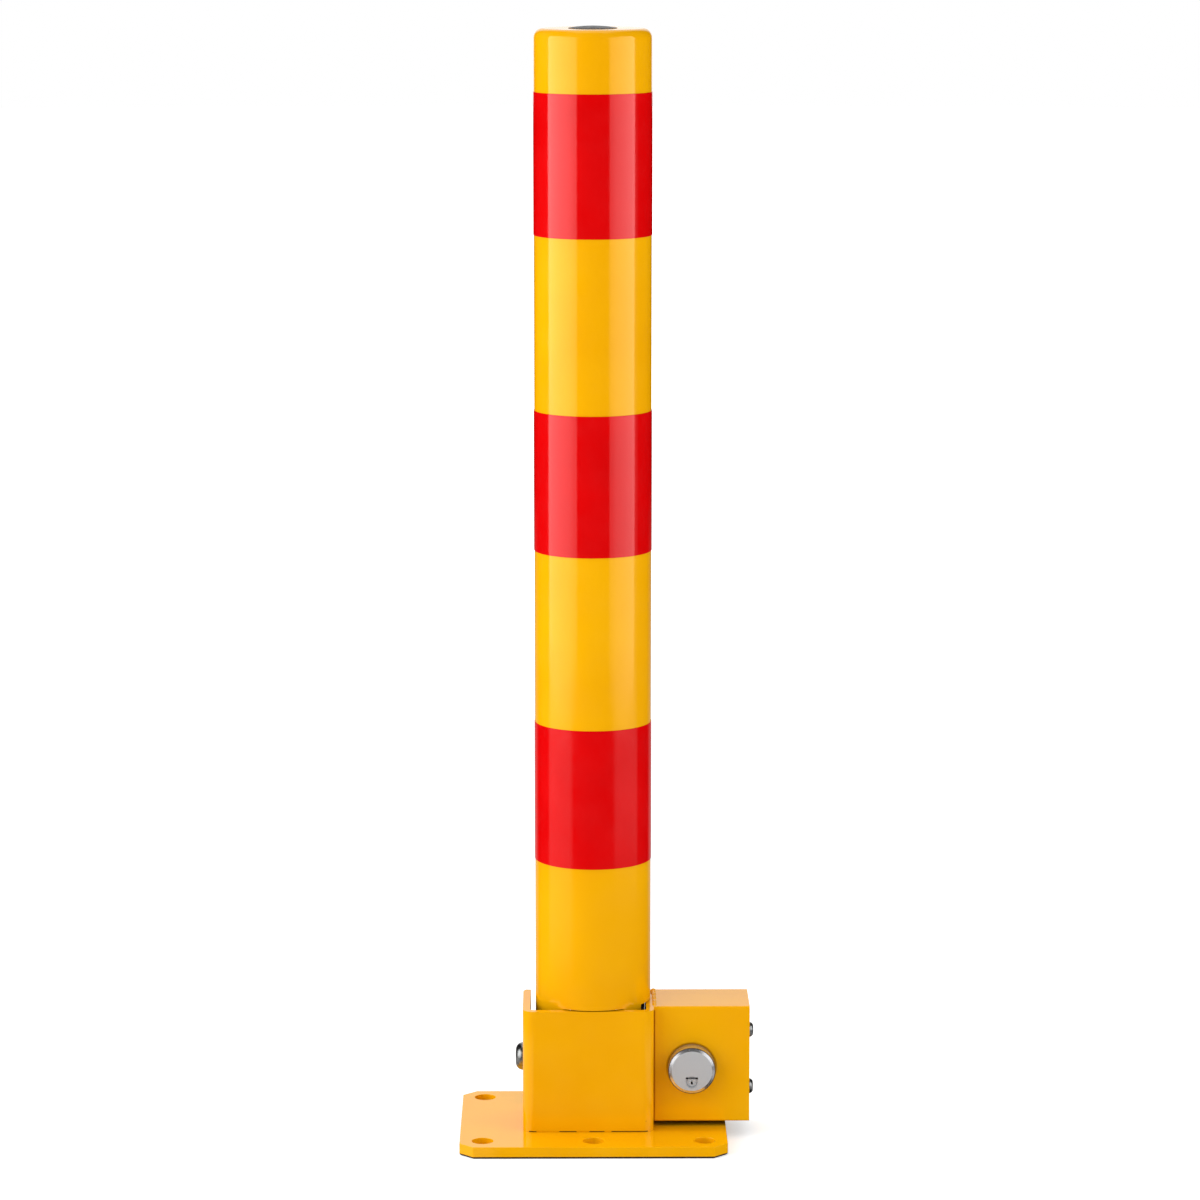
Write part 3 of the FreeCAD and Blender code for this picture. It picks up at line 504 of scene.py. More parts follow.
SATIN = Finish("satin_lock_face", srgb(205, 206, 209), roughness=0.4, metallic=0.3)
rings = SATIN.rings(LOCK_AXIS, scale=9000)
SATIN.tone(rings, srgb(198, 200, 203), srgb(212, 214, 217))
SATIN.gloss(rings, low=0.3, high=0.42)
SATIN.relief(rings, depth=0.004 * MM)

POLISHED = Finish("polished_lock_rim", srgb(222, 222, 224), roughness=0.24, metallic=0.88)
POLISHED.gloss(POLISHED.noise(scale=500, detail=3), low=0.2, high=0.28)

RUBBER = Finish("plug_rubber", srgb(18, 17, 16), roughness=0.36)
RUBBER.tone(RUBBER.noise(scale=120), srgb(12, 11, 10), srgb(24, 23, 22))
RUBBER.gloss(RUBBER.noise(scale=300), low=0.3, high=0.42)
RUBBER.relief(RUBBER.noise(scale=1500), depth=0.03 * MM)
print([finish.material.name for finish in (ZINC, STEEL, BARE_AND_SHADE, SATIN, POLISHED, RUBBER)])

# %% [markdown]
# ## Dressing the frame's own nodes
# Pieces whose shape in the frame is already right keep their node and only get a finish. The record says
# which finish each node has, so one loop dresses them all. The pieces that are modelled below hide their
# nodes.

# %% Give every node its finish
SLOT_FINISH = {"yellow_paint": YELLOW, "red_film": RED, "black_rubber": RUBBER, "zinc_steel": ZINC,
               "lock_chrome": SATIN, "lock_steel": STEEL}
NODE_SLOT = {row["node"]: row["material_slot"] for row in frame["record"]["subparts"]}
for node, item in frame["nodes"].items():
    item.data.materials.clear()
    item.data.materials.append(SLOT_FINISH[NODE_SLOT[node]].material)
print("dressed", len(NODE_SLOT), "nodes")

# %% [markdown]
# ## Modelling by operators
# The pieces that show are modelled as by hand: a primitive at its place, edit mode, and a modifier or two.
# An operator acts on all that is selected, so each piece starts with nothing selected. Faces and edges are
# then picked in code by their place or normal, which is what a mouse would do.

# %% Helpers for modelling
TOUCH = 0.05 * MM
FACING = 0.9
ROD_SIDES = 96


def start_fresh():
    """Back to object mode with nothing selected."""
    if bpy.context.mode != "OBJECT":
        bpy.ops.object.mode_set(mode="OBJECT")
    bpy.ops.object.select_all(action="DESELECT")


def make_active(piece):
    start_fresh()
    piece.select_set(True)
    bpy.context.view_layer.objects.active = piece


def settle(name):
    """Name the new piece, and move its place, turn and scale into its mesh."""
    bpy.ops.object.transform_apply(location=True, rotation=True, scale=True)
    bpy.context.object.name = name
    return bpy.context.object


def add_block(name, low, high):
    """A cube stretched between two opposite corners."""
    start_fresh()
    low, high = Vector(low), Vector(high)
    bpy.ops.mesh.primitive_cube_add(size=1, location=(low + high) / 2, scale=high - low)
    return settle(name)


def add_rod(name, start, end, radius, sides=ROD_SIDES):
    """A cylinder between two places."""
    start_fresh()
    start, end = Vector(start), Vector(end)
    turn = (end - start).to_track_quat("Z", "Y").to_euler()
    bpy.ops.mesh.primitive_cylinder_add(vertices=sides, radius=radius, depth=(end - start).length,
                                        location=(start + end) / 2, rotation=turn)
    return settle(name)


def join(first, *others):
    """Make several pieces one, under the first one's name."""
    make_active(first)
    for other in others:
        other.select_set(True)
    bpy.ops.object.join()


def near(first, second):
    return abs(first - second) < TOUCH


def pick(piece, kind, rule):
    """Enter edit mode with those parts selected that the rule accepts. It is given an edge's two ends, or
    a face's middle and normal."""
    make_active(piece)
    bpy.ops.object.mode_set(mode="EDIT")
    bpy.ops.mesh.select_mode(type=kind)
    bpy.ops.mesh.select_all(action="DESELECT")
    bpy.ops.object.mode_set(mode="OBJECT")
    mesh = piece.data
    if kind == "EDGE":
        for edge in mesh.edges:
            edge.select = rule(*[mesh.vertices[index].co for index in edge.vertices])
    else:
        for face in mesh.polygons:
            face.select = rule(face.center, face.normal)
    bpy.ops.object.mode_set(mode="EDIT")


def bevel_where(piece, width, segments, rule):
    """Bevel the edges that the rule accepts."""
    pick(piece, "EDGE", rule)
    bpy.ops.mesh.bevel(offset=width, segments=segments, affect="EDGES")


def edit_all(piece):
    """Enter edit mode with every corner selected."""
    make_active(piece)
    bpy.ops.object.mode_set(mode="EDIT")
    bpy.ops.mesh.select_mode(type="VERT")
    bpy.ops.mesh.select_all(action="SELECT")


def face_outwards():
    """Turn every face of the edited piece outwards, and leave edit mode."""
    bpy.ops.mesh.select_all(action="SELECT")
    bpy.ops.mesh.normals_make_consistent(inside=False)
    bpy.ops.object.mode_set(mode="OBJECT")


print("modelling helpers ready")

# %% [markdown]
# ## Modifiers that are applied at once
# Three modifiers do most of the work after the first shape: Boolean cuts holes, Solidify gives a folded
# sheet its thickness, and Bevel breaks the edges, which is what makes painted steel look like steel: no
# coated edge is sharp, and each catches a thin line of light. Each is applied as soon as it is set.

# %% Helpers for modifiers
def apply_modifier(piece, kind, **settings):
    """Add a modifier with its settings and apply it."""
    make_active(piece)
    modifier = piece.modifiers.new(kind.lower(), kind)
    for name, value in settings.items():
        setattr(modifier, name, value)
    bpy.ops.object.modifier_apply(modifier=modifier.name)


def combine(piece, other, operation):
    """Add another piece's volume or take it away, and throw the other piece away."""
    apply_modifier(piece, "BOOLEAN", object=other, operation=operation, solver="EXACT")
    bpy.data.objects.remove(other)


def cut_away(piece, *cutters):
    for cutter in cutters:
        combine(piece, cutter, "DIFFERENCE")


def break_edges(piece, width, segments=3, sharper_than=40):
    apply_modifier(piece, "BEVEL", width=width, segments=segments, limit_method="ANGLE",
                   angle_limit=math.radians(sharper_than), miter_outer="MITER_ARC")


def paint_faces(piece, finish, rule):
    """Give another finish to the faces that the rule accepts."""
    piece.data.materials.append(finish.material)
    pick(piece, "FACE", rule)
    piece.active_material_index = len(piece.data.materials) - 1
    bpy.ops.object.material_slot_assign()
    bpy.ops.object.mode_set(mode="OBJECT")


def two_finishes(piece, main, other, rule):
    """Give a piece one finish, and another on the faces that the rule accepts."""
    piece.data.materials.clear()
    piece.data.materials.append(main.material)
    paint_faces(piece, other, rule)


def finish_piece(piece, body, slot, *nodes, smooth=30):
    """Smooth the shading, attach the piece to its body and hide the nodes that it stands for. A piece that has no
    finish yet gets the slot's finish."""
    make_active(piece)
    bpy.ops.object.shade_smooth_by_angle(angle=math.radians(smooth))
    apply_modifier(piece, "WEIGHTED_NORMAL", keep_sharp=True)
    if not piece.data.materials:
        piece.data.materials.append(SLOT_FINISH[slot].material)
    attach(piece, body)
    if nodes:
        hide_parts(*nodes)
    print(piece.name, "on", body, "with", len(piece.data.polygons), "faces")


print("modifier helpers ready")

# %% [markdown]
# ## A lathe
# Round pieces are turned: half of the outline is drawn beside the axis, point to point, and Spin carries
# it right round. The outline is a row of (radius, height) pairs, with round stretches worked out as arcs.
# The seam is closed by merging doubles, and the normals are made to point outwards.

# %% Helpers for turning
ARC_STEPS = 8
SAME_PLACE = 0.001 * MM
UP = Vector((0, 0, 1))
BACK = Vector((0, 1, 0))
RIGHT = Vector((1, 0, 0))


def arc(radius, height, size, first, last):
    """Pairs along an arc about (radius, height), from one angle to another in degrees."""
    turns = [math.radians(first + (last - first) * step / ARC_STEPS) for step in range(ARC_STEPS + 1)]
    return [(radius + size * math.cos(turn), height + size * math.sin(turn)) for turn in turns]


def turn_piece(name, pairs, origin, along, steps, angle=360, out=None):
    """Draw an outline of (radius, height) pairs and spin it about the axis through the origin."""
    start_fresh()
    origin, along = Vector(origin), Vector(along)
    out = out or along.orthogonal().normalized()
    places = [origin + out * radius + along * height for radius, height in pairs]
    bpy.ops.mesh.primitive_plane_add(size=MM, location=places[0])
    piece = settle(name)
    edit_all(piece)
    bpy.ops.mesh.merge(type="CENTER")
    for here, there in zip(places, places[1:]):
        bpy.ops.mesh.extrude_region_move(TRANSFORM_OT_translate={"value": there - here})
    bpy.ops.mesh.select_all(action="SELECT")
    bpy.ops.mesh.spin(steps=steps, angle=math.radians(angle), center=origin, axis=along)
    bpy.ops.mesh.select_all(action="SELECT")
    bpy.ops.mesh.remove_doubles(threshold=SAME_PLACE)
    face_outwards()
    return piece


def close_ends(piece, sides):
    """Put a face on each open end of a piece that was swept part of the way."""
    edit_all(piece)
    bpy.ops.mesh.fill_holes(sides=sides)
    face_outwards()


print("lathe ready")

# %% [markdown]
# ## The post
# The post is a steel tube with its top end spun over to a rounded shoulder and a hole for the plug. It
# could be a cylinder with a bevelled top, but turning the true section gives the wall, the shoulder and
# the hole in one go. Below its foot the wall goes on as a skirt inside the bracket. Three cuts open it
# where the bracket's front plate and right cheek stand, and they end a hair above the foot plate's
# underside, which leaves a narrow gap there. The inside of the tube gets the dark bare finish: the wall is
# uncoated, and the dark finish is painted shade there as well. The steps are many, because long
# reflections show every flat.

# %% Turn the post
POST_WALL = 2.5 * MM
POST_SHOULDER = 6 * MM
POST_EDGE = 0.4 * MM
POST_STEPS = 256
POST_FOOT = (POST_AXIS.x, POST_AXIS.y, 0)
PLUG_HOLE = 12.5 * MM
SHEET = 5 * MM
SKIRT_GAP = 0.4 * MM
SKIRT_RELIEF = 3.3 * MM
PAST = 5 * MM
FOOT_GAP = 0.4 * MM
FOOT_Z = corners("foot_plate")[0].z + FOOT_GAP


def make_post():
    bore = POST_RADIUS - POST_WALL
    inner_shoulder = POST_SHOULDER - POST_WALL
    top = POST_HIGH.z
    section = [(POST_RADIUS, POST_LOW.z)]
    section += arc(POST_RADIUS - POST_SHOULDER, top - POST_SHOULDER, POST_SHOULDER, 0, 90)
    section += [(PLUG_HOLE, top), (PLUG_HOLE, top - POST_WALL)]
    section += arc(bore - inner_shoulder, top - POST_WALL - inner_shoulder, inner_shoulder, 90, 0)
    section += [(bore, POST_LOW.z), (POST_RADIUS, POST_LOW.z)]
    post = turn_piece("post", section, POST_FOOT, UP, POST_STEPS)
    cheek = BRACKET_HIGH.x - SHEET
    far = POST_RADIUS + PAST
    below = POST_LOW.z - PAST
    near_y, far_y = POST_AXIS.y - far, POST_AXIS.y + far
    cut_away(post,
             add_block("front_cut", (-far, near_y, below), (far, BRACKET_LOW.y + SHEET + SKIRT_GAP, FOOT_Z)),
             add_block("side_cut", (cheek - SKIRT_GAP, near_y, below), (far, far_y, FOOT_Z)),
             add_block("relief_cut", (cheek - SKIRT_RELIEF, near_y, below), (far, POST_AXIS.y, FOOT_Z)))
    break_edges(post, POST_EDGE, segments=2, sharper_than=60)
    # Painted shade: the inside wall gets the dark bare finish, as well as being uncoated.
    two_finishes(post, YELLOW, BARE_AND_SHADE, lambda place, normal: (place - POST_AXIS).xy.length < bore + POST_EDGE
                 and place.z < top - POST_SHOULDER)
    finish_piece(post, "post", "yellow_paint", "post_tube")


make_post()

# %% [markdown]
# ## The red bands
# Each band is a strip of film wrapped once round the post, so it has an edge one can feel, and its end
# laps over its start at the back. A red stripe in the paint would be quicker, but it would have no edge to
# catch the light. The ring is turned with its two outer edges a little broken. The lap is a short turn of
# the same height, a little thicker, with both ends closed.

# %% Wrap the bands
BAND_GLUE = 0.02 * MM
FILM_EDGE = 0.1 * MM
LAP = 0.2 * MM
LAP_TURN = 9
LAP_STEPS = 8


def wrap_band(node):
    low, high = corners(node)
    outside = half_width(node)
    inside = POST_RADIUS + BAND_GLUE
    edge = [(inside, low.z), (outside - FILM_EDGE, low.z), (outside, low.z + FILM_EDGE),
            (outside, high.z - FILM_EDGE), (outside - FILM_EDGE, high.z), (inside, high.z), (inside, low.z)]
    band = turn_piece(f"{node}_film", edge, POST_FOOT, UP, POST_STEPS)
    lap_edge = [(inside, low.z), (outside + LAP, low.z), (outside + LAP, high.z), (inside, high.z),
                (inside, low.z)]
    lap = turn_piece("lap", lap_edge, POST_FOOT, UP, LAP_STEPS, angle=LAP_TURN, out=BACK)
    close_ends(lap, sides=len(lap_edge) - 1)
    join(band, lap)
    finish_piece(band, "post", "red_film", node, smooth=40)


for name in ("red_band_top", "red_band_middle", "red_band_low"):
    wrap_band(name)

# %% [markdown]
# ## The plug in the top
# A rubber plug closes the hole in the post's top. Its head is a thin lens on a low lip, with the gate mark
# of the mould left in the middle. A squashed ball would do for the head, but turning the whole outline
# gives the lens, the mark and the hollow stem at once.

# %% Turn the plug
PLUG_LIP = 0.25 * MM
PLUG_RISE = 1.3 * MM
PLUG_GATE = 1.5 * MM
PLUG_GATE_RIM = 2 * MM
PLUG_GATE_DEEP = 0.25 * MM
PLUG_STEM = 12.48 * MM
PLUG_STEM_WALL = 2 * MM
PLUG_STEPS = 96


def make_plug():
    head = half_width("top_plug")
    seat, tip = POST_HIGH.z, corners("top_plug")[0].z
    top = seat + PLUG_LIP + PLUG_RISE
    lens = (head ** 2 + PLUG_RISE ** 2) / (2 * PLUG_RISE)
    first, last = [90 - math.degrees(math.asin(reach / lens)) for reach in (PLUG_GATE_RIM, head)]
    hollow, ceiling = PLUG_STEM - PLUG_STEM_WALL, seat - PLUG_STEM_WALL / 2
    section = [(0, top - PLUG_GATE_DEEP), (PLUG_GATE, top - PLUG_GATE_DEEP)]
    section += arc(0, top - lens, lens, first, last)
    section += [(head, seat), (PLUG_STEM, seat), (PLUG_STEM, tip), (hollow, tip), (hollow, ceiling),
                (0, ceiling)]
    plug = turn_piece("plug", section, POST_FOOT, UP, PLUG_STEPS)
    finish_piece(plug, "post", "black_rubber", "top_plug")


make_plug()

# %% [markdown]
# ## The base plate
# The plate is cut from thick steel, with clipped corners and holes for ground bolts. Its outline could be
# drawn and extruded, but the edges of a cube are easier to pick. It gets the clips by a one-step bevel of
# its upright edges, and a chamfer round its foot by another. Rods cut the holes, and a narrow bevel breaks
# every edge, the holes' mouths among them. What looks down gets the dark bare finish, which paints a thin
# dark line of contact shadow where the plate meets the ground.

# %% Cut the plate
PLATE_CLIP = 9 * MM
PLATE_CHAMFER = 1.2 * MM
BOLT_INSET = 15 * MM
BOLT_HOLE = 7 * MM
COATED_EDGE = 0.8 * MM
LOOKS_DOWN = -0.1


def upright(one, two):
    return near(one.x, two.x) and near(one.y, two.y)


def make_plate():
    plate = add_block("plate", PLATE_LOW, PLATE_HIGH)
    bevel_where(plate, PLATE_CLIP, segments=1, rule=upright)
    bevel_where(plate, PLATE_CHAMFER, segments=1,
                rule=lambda one, two: near(one.z, PLATE_LOW.z) and near(two.z, PLATE_LOW.z))
    side, end = PLATE_HIGH.x - BOLT_INSET, PLATE_HIGH.y - BOLT_INSET
    for x, y in ((-side, -end), (0, -end), (side, -end), (-side, end), (side, end)):
        cut_away(plate, add_rod("drill", (x, y, PLATE_LOW.z - PAST), (x, y, PLATE_HIGH.z + PAST), BOLT_HOLE))
    break_edges(plate, COATED_EDGE)
    # Painted contact shadow: the faces that look down get the dark finish.
    two_finishes(plate, YELLOW, BARE_AND_SHADE, lambda place, normal: normal.z < LOOKS_DOWN)
    finish_piece(plate, "frame", "yellow_paint", "base_plate")


make_plate()

# %% [markdown]
# ## The hinge bracket
# The bracket is one sheet folded twice, a front plate with two cheeks. A cube loses its back, top and
# bottom, a round bevel makes the bends, and Solidify gives the sheet inwards, so the bend is round inside
# too. The left cheek's rear end is rounded at the top and clipped at a slant. The right one is cut round
# about the hinge, where the post's foot swings by. A rod drills the bearing through both cheeks. Under the
# front plate a hairline gap stays open. The sheet's inside and the gap's bottom get the dark bare finish as
# painted shade.

# %% Fold the bracket
BEND = 7.5 * MM
BEND_STEPS = 10
CHEEK_ROUND = 6 * MM
CHEEK_STEPS = 8
CLIP_WIDE = 3.4 * MM
CLIP_LONG = 9 * MM
SWING_SIDES = 180
SHAFT_PLAY = 0.05 * MM
SEAM_DEPTH = 0.9 * MM
SEAM_HEIGHT = 0.7 * MM


def clip_corner(bracket):
    """Take the left cheek's rear outer corner off with a turned block, far larger than the corner."""
    outwards = Vector((-CLIP_LONG, CLIP_WIDE, 0)).normalized()
    cut = Vector((BRACKET_LOW.x + CLIP_WIDE / 2, BRACKET_HIGH.y - CLIP_LONG / 2, BRACKET_HIGH.z / 2))
    start_fresh()
    bpy.ops.mesh.primitive_cube_add(size=1, location=cut + outwards * CLIP_LONG,
                                    rotation=(0, 0, math.atan2(outwards.y, outwards.x)),
                                    scale=(2 * CLIP_LONG, 4 * CLIP_LONG, 2 * BRACKET_HIGH.z))
    cut_away(bracket, settle("wedge"))


def clear_the_swing(bracket):
    """Cut the right cheek's upper rear corner round about the hinge, and drill the bearing."""
    cheek = BRACKET_HIGH.x - SHEET - PAST
    corner = add_block("corner", (cheek, HINGE.y, HINGE.z),
                       (BRACKET_HIGH.x + PAST, BRACKET_HIGH.y + PAST, BRACKET_HIGH.z + PAST))
    cut_away(corner, add_rod("sweep", (cheek - PAST, HINGE.y, HINGE.z),
                             (BRACKET_HIGH.x + 2 * PAST, HINGE.y, HINGE.z), BRACKET_HIGH.z - HINGE.z,
                             sides=SWING_SIDES))
    cut_away(bracket, corner,
             add_rod("drill", (BRACKET_LOW.x - PAST, HINGE.y, HINGE.z),
                     (BRACKET_HIGH.x + PAST, HINGE.y, HINGE.z), half_width("hinge_shaft", "z") + SHAFT_PLAY))


def open_seam(bracket):
    """Leave a narrow gap under the front plate."""
    far_corner = (BRACKET_HIGH.x + PAST, BRACKET_LOW.y + SEAM_DEPTH, BRACKET_LOW.z + SEAM_HEIGHT)
    cut_away(bracket, add_block("gap", BRACKET_LOW - Vector((PAST, PAST, PAST)), far_corner))


def shade_inside_bracket(bracket):
    """Paint shade as the dark bare finish on the sheet's inside and at the bottom of the gap."""
    left, right = BRACKET_LOW.x + SHEET, BRACKET_HIGH.x - SHEET

    # Painted shade on the sheet's inside and at the bottom of the gap.
    def in_painted_shade(place, normal):
        inside = left - TOUCH < place.x < right + TOUCH and place.y > BRACKET_LOW.y + SHEET - TOUCH
        gap = normal.y < -FACING and place.z < BRACKET_LOW.z + SEAM_HEIGHT
        return inside or gap

    two_finishes(bracket, YELLOW, BARE_AND_SHADE, in_painted_shade)


def fold_bracket():
    bracket = add_block("bracket", BRACKET_LOW, BRACKET_HIGH)
    pick(bracket, "FACE", lambda place, normal: normal.y > FACING or abs(normal.z) > FACING)
    bpy.ops.mesh.delete(type="FACE")
    bevel_where(bracket, BEND, BEND_STEPS, lambda one, two: upright(one, two) and near(one.y, BRACKET_LOW.y))
    apply_modifier(bracket, "SOLIDIFY", thickness=SHEET, offset=-1, use_even_offset=True)
    bevel_where(bracket, CHEEK_ROUND, CHEEK_STEPS, lambda one, two: near(one.y, two.y)
                and near(one.y, BRACKET_HIGH.y) and near(one.z, two.z) and near(one.z, BRACKET_HIGH.z)
                and one.x < POST_AXIS.x)
    clear_the_swing(bracket)
    clip_corner(bracket)
    break_edges(bracket, COATED_EDGE)
    open_seam(bracket)
    shade_inside_bracket(bracket)
    finish_piece(bracket, "frame", "yellow_paint", "hinge_bracket")


fold_bracket()

# %% [markdown]
# ## The lock box
# The box is a length of square tube set against the bracket's right cheek, with a round hole in front for
# the lock's sleeve. A cube gets rounded long edges, and a longer and narrower block hollows it from end to
# end. Solidify would fold over itself at edges as tight as these. Beside the bracket a coated groove is
# left as the joint, and the underside gets the dark bare finish as painted shade under the box. The cover
# in the outer end is a loose plate with a broken edge and two screw holes.

# %% Make the box and its cover
BOX_WALL = 3 * MM
BOX_ROUND = 1.5 * MM
BOX_ROUND_STEPS = 5
COVER_EDGE = 0.5 * MM
COVER_HOLE = 3.3 * MM
SLEEVE_PLAY = 0.02 * MM
JOINT_WIDE = 0.9 * MM
JOINT_DEEP = 2 * MM
JOINT_TOP = 2.5 * MM


def make_box():
    box = add_block("box", BOX_LOW, BOX_HIGH)
    bevel_where(box, BOX_ROUND, BOX_ROUND_STEPS, lambda one, two: not near(one.x, two.x))
    through = Vector((PAST, -BOX_WALL, -BOX_WALL))
    cut_away(box,
             add_block("inside", BOX_LOW - through, BOX_HIGH + through),
             add_rod("drill", (LOCK_AXIS.x, BOX_LOW.y - PAST, LOCK_AXIS.z),
                     (LOCK_AXIS.x, BOX_LOW.y + PAST, LOCK_AXIS.z), half_width("lock_sleeve") + SLEEVE_PLAY),
             add_block("joint", BOX_LOW - Vector((PAST, PAST, PAST)),
                       (BOX_LOW.x + JOINT_WIDE, BOX_LOW.y + JOINT_DEEP, BOX_HIGH.z - JOINT_TOP)))
    # Painted shade: the box's underside gets the dark finish.
    two_finishes(box, YELLOW, BARE_AND_SHADE, lambda place, normal: near(place.z, BOX_LOW.z) and normal.z < -FACING)
    finish_piece(box, "frame", "yellow_paint", "lock_box")


def cover_screw_heights():
    """The heights of the lower and the upper screw's axis."""
    low, high = corners("cover_screws")
    head = half_width("cover_screws", "y")
    return low.z + head, high.z - head


def make_cover():
    low, high = corners("box_cover")
    cover = add_block("cover", low, high)
    centre = (low.y + high.y) / 2
    for z in cover_screw_heights():
        cut_away(cover, add_rod("drill", (low.x - PAST, centre, z), (high.x + PAST, centre, z), COVER_HOLE))
    break_edges(cover, COVER_EDGE)
    finish_piece(cover, "frame", "yellow_paint", "box_cover")


make_box()
make_cover()

# %% [markdown]
# ## The screws
# Three screws with domed heads show: a large one holds the hinge shaft at the left, and two small ones hold
# the cover. A head is flat in the middle and well rounded towards its rim. A bevelled cylinder would look
# boxy, so the outline is turned, with its shank, and a six-sided rod cuts the socket. The small screw is
# made once and copied with a mesh of its own.

# %% Turn the screws
SOCKET_DEPTH = 2 * MM
SOCKET_SIDES = 6
SCREW_EDGE = 0.15 * MM
SCREW_STEPS = 72


def turn_screw(name, origin, along, head, height, crown, shank, length, flats):
    """A screw whose domed head stands on the origin and points along an axis, flat within its crown."""
    section = [(0, height)]
    section += [(crown + (head - crown) * share, height * rise) for share, rise in arc(0, 0, 1, 90, 0)]
    section += [(shank, 0), (shank, -length), (0, -length)]
    screw = turn_piece(name, section, origin, along, SCREW_STEPS)
    origin = Vector(origin)
    cut_away(screw, add_rod("key", origin + along * (height - SOCKET_DEPTH), origin + along * (height + PAST),
                            flats / math.sqrt(3), sides=SOCKET_SIDES))
    break_edges(screw, SCREW_EDGE, segments=2, sharper_than=50)
    return screw


def make_screws():
    low, high = corners("shaft_screw")
    shaft_end = corners("hinge_shaft")[0].x
    large = turn_screw("shaft_end_screw", (shaft_end, HINGE.y, HINGE.z), -RIGHT,
                       head=half_width("shaft_screw", "z"), height=shaft_end - low.x, crown=4 * MM,
                       shank=4 * MM, length=high.x - shaft_end, flats=6 * MM)
    finish_piece(large, "post", "zinc_steel", "shaft_screw")
    low, high = corners("cover_screws")
    lower_z, upper_z = cover_screw_heights()
    seat = BOX_HIGH.x
    small = turn_screw("cover_screw_pair", (seat, (low.y + high.y) / 2, lower_z), RIGHT,
                       head=half_width("cover_screws", "y"), height=high.x - seat, crown=2.5 * MM,
                       shank=3 * MM, length=seat - low.x, flats=4 * MM)
    make_active(small)
    bpy.ops.object.duplicate(linked=False)
    bpy.ops.transform.translate(value=UP * (upper_z - lower_z))
    join(small, settle("upper_screw"))
    finish_piece(small, "frame", "zinc_steel", "cover_screws")


make_screws()

# %% [markdown]
# ## The lock barrel
# The barrel is turned from bar, with a bevel round its face and a seat for the spring in its rear end. A
# half-round recess with a flat top is milled into the face, a slot runs along that top, and the key plug's
# bore goes on behind. The latch has a pocket below, and the stop screw a groove at the side. The section is
# spun first, and what a spin can't make is cut after. The lathe left the face dull and the rim was buffed,
# so the face gets a finish of its own. The rim's outer edge and what lies deeper than the recess get the
# dark bare finish as painted shade.

# %% Turn the barrel
LOCK_BEVEL = 2.2 * MM
LOCK_TRAVEL = 9 * MM
BARREL_STEPS = 128
RECESS_HALF = 4 * MM
RECESS_TOP = 3.4 * MM
RECESS_DEPTH = 1.2 * MM
SPRING_SEAT = 4 * MM
SPRING_PLAY = 0.4 * MM
PIN_SEAT = 3 * MM
STOP_GROOVE = 2.2 * MM
STOP_HALF = 1.8 * MM
SLOT_HIGH = 1.5 * MM
SLOT_DEEP = 3.5 * MM
RING = 0.45 * MM
FLAT_ON = 0.99
SATIN_DEPTH = 2 * RECESS_DEPTH
SHADE_REACH = 2 * RECESS_HALF
PLAY = 0.3 * MM
RUNNING = 0.05 * MM
TURNED_EDGE = 0.12 * MM
KEY_LOW, KEY_HIGH = corners("key_plug")
KEY_AXIS = middle("key_plug")
KEY_RADIUS = half_width("key_plug")
LATCH_LOW, LATCH_HIGH = corners("lock_latch")


def shutter_slot():
    """The dark slot along the recess's flat top, cut into the barrel and the key plug alike."""
    top, face = KEY_AXIS.z + RECESS_TOP, corners("lock_barrel")[0].y
    return add_block("slot", (KEY_AXIS.x - RECESS_HALF, face - PAST, top - SLOT_HIGH),
                     (KEY_AXIS.x + RECESS_HALF, face + SLOT_DEEP, top))


def cut_pockets(barrel, low, high):
    ahead, recess = low.y - PAST, low.y + RECESS_DEPTH
    stop = middle("stop_screw")
    cut_away(barrel,
             add_block("flat", (KEY_AXIS.x - RECESS_HALF, ahead, KEY_AXIS.z),
                       (KEY_AXIS.x + RECESS_HALF, recess, KEY_AXIS.z + RECESS_TOP)),
             add_rod("round", (KEY_AXIS.x, ahead, KEY_AXIS.z), (KEY_AXIS.x, recess, KEY_AXIS.z), RECESS_HALF),
             add_rod("bore", (KEY_AXIS.x, ahead, KEY_AXIS.z), (KEY_AXIS.x, LATCH_LOW.y, KEY_AXIS.z),
                     KEY_RADIUS + RUNNING),
             shutter_slot(),
             add_block("pocket", (LATCH_LOW.x - PLAY, LATCH_LOW.y - PLAY, low.z - PAST),
                       (LATCH_HIGH.x + PLAY, LATCH_HIGH.y + PLAY, LATCH_HIGH.z + PLAY)),
             add_block("groove", (high.x - STOP_GROOVE, stop.y - LOCK_TRAVEL - STOP_HALF, stop.z - STOP_HALF),
                       (high.x + PAST, stop.y + STOP_HALF, stop.z + STOP_HALF)))


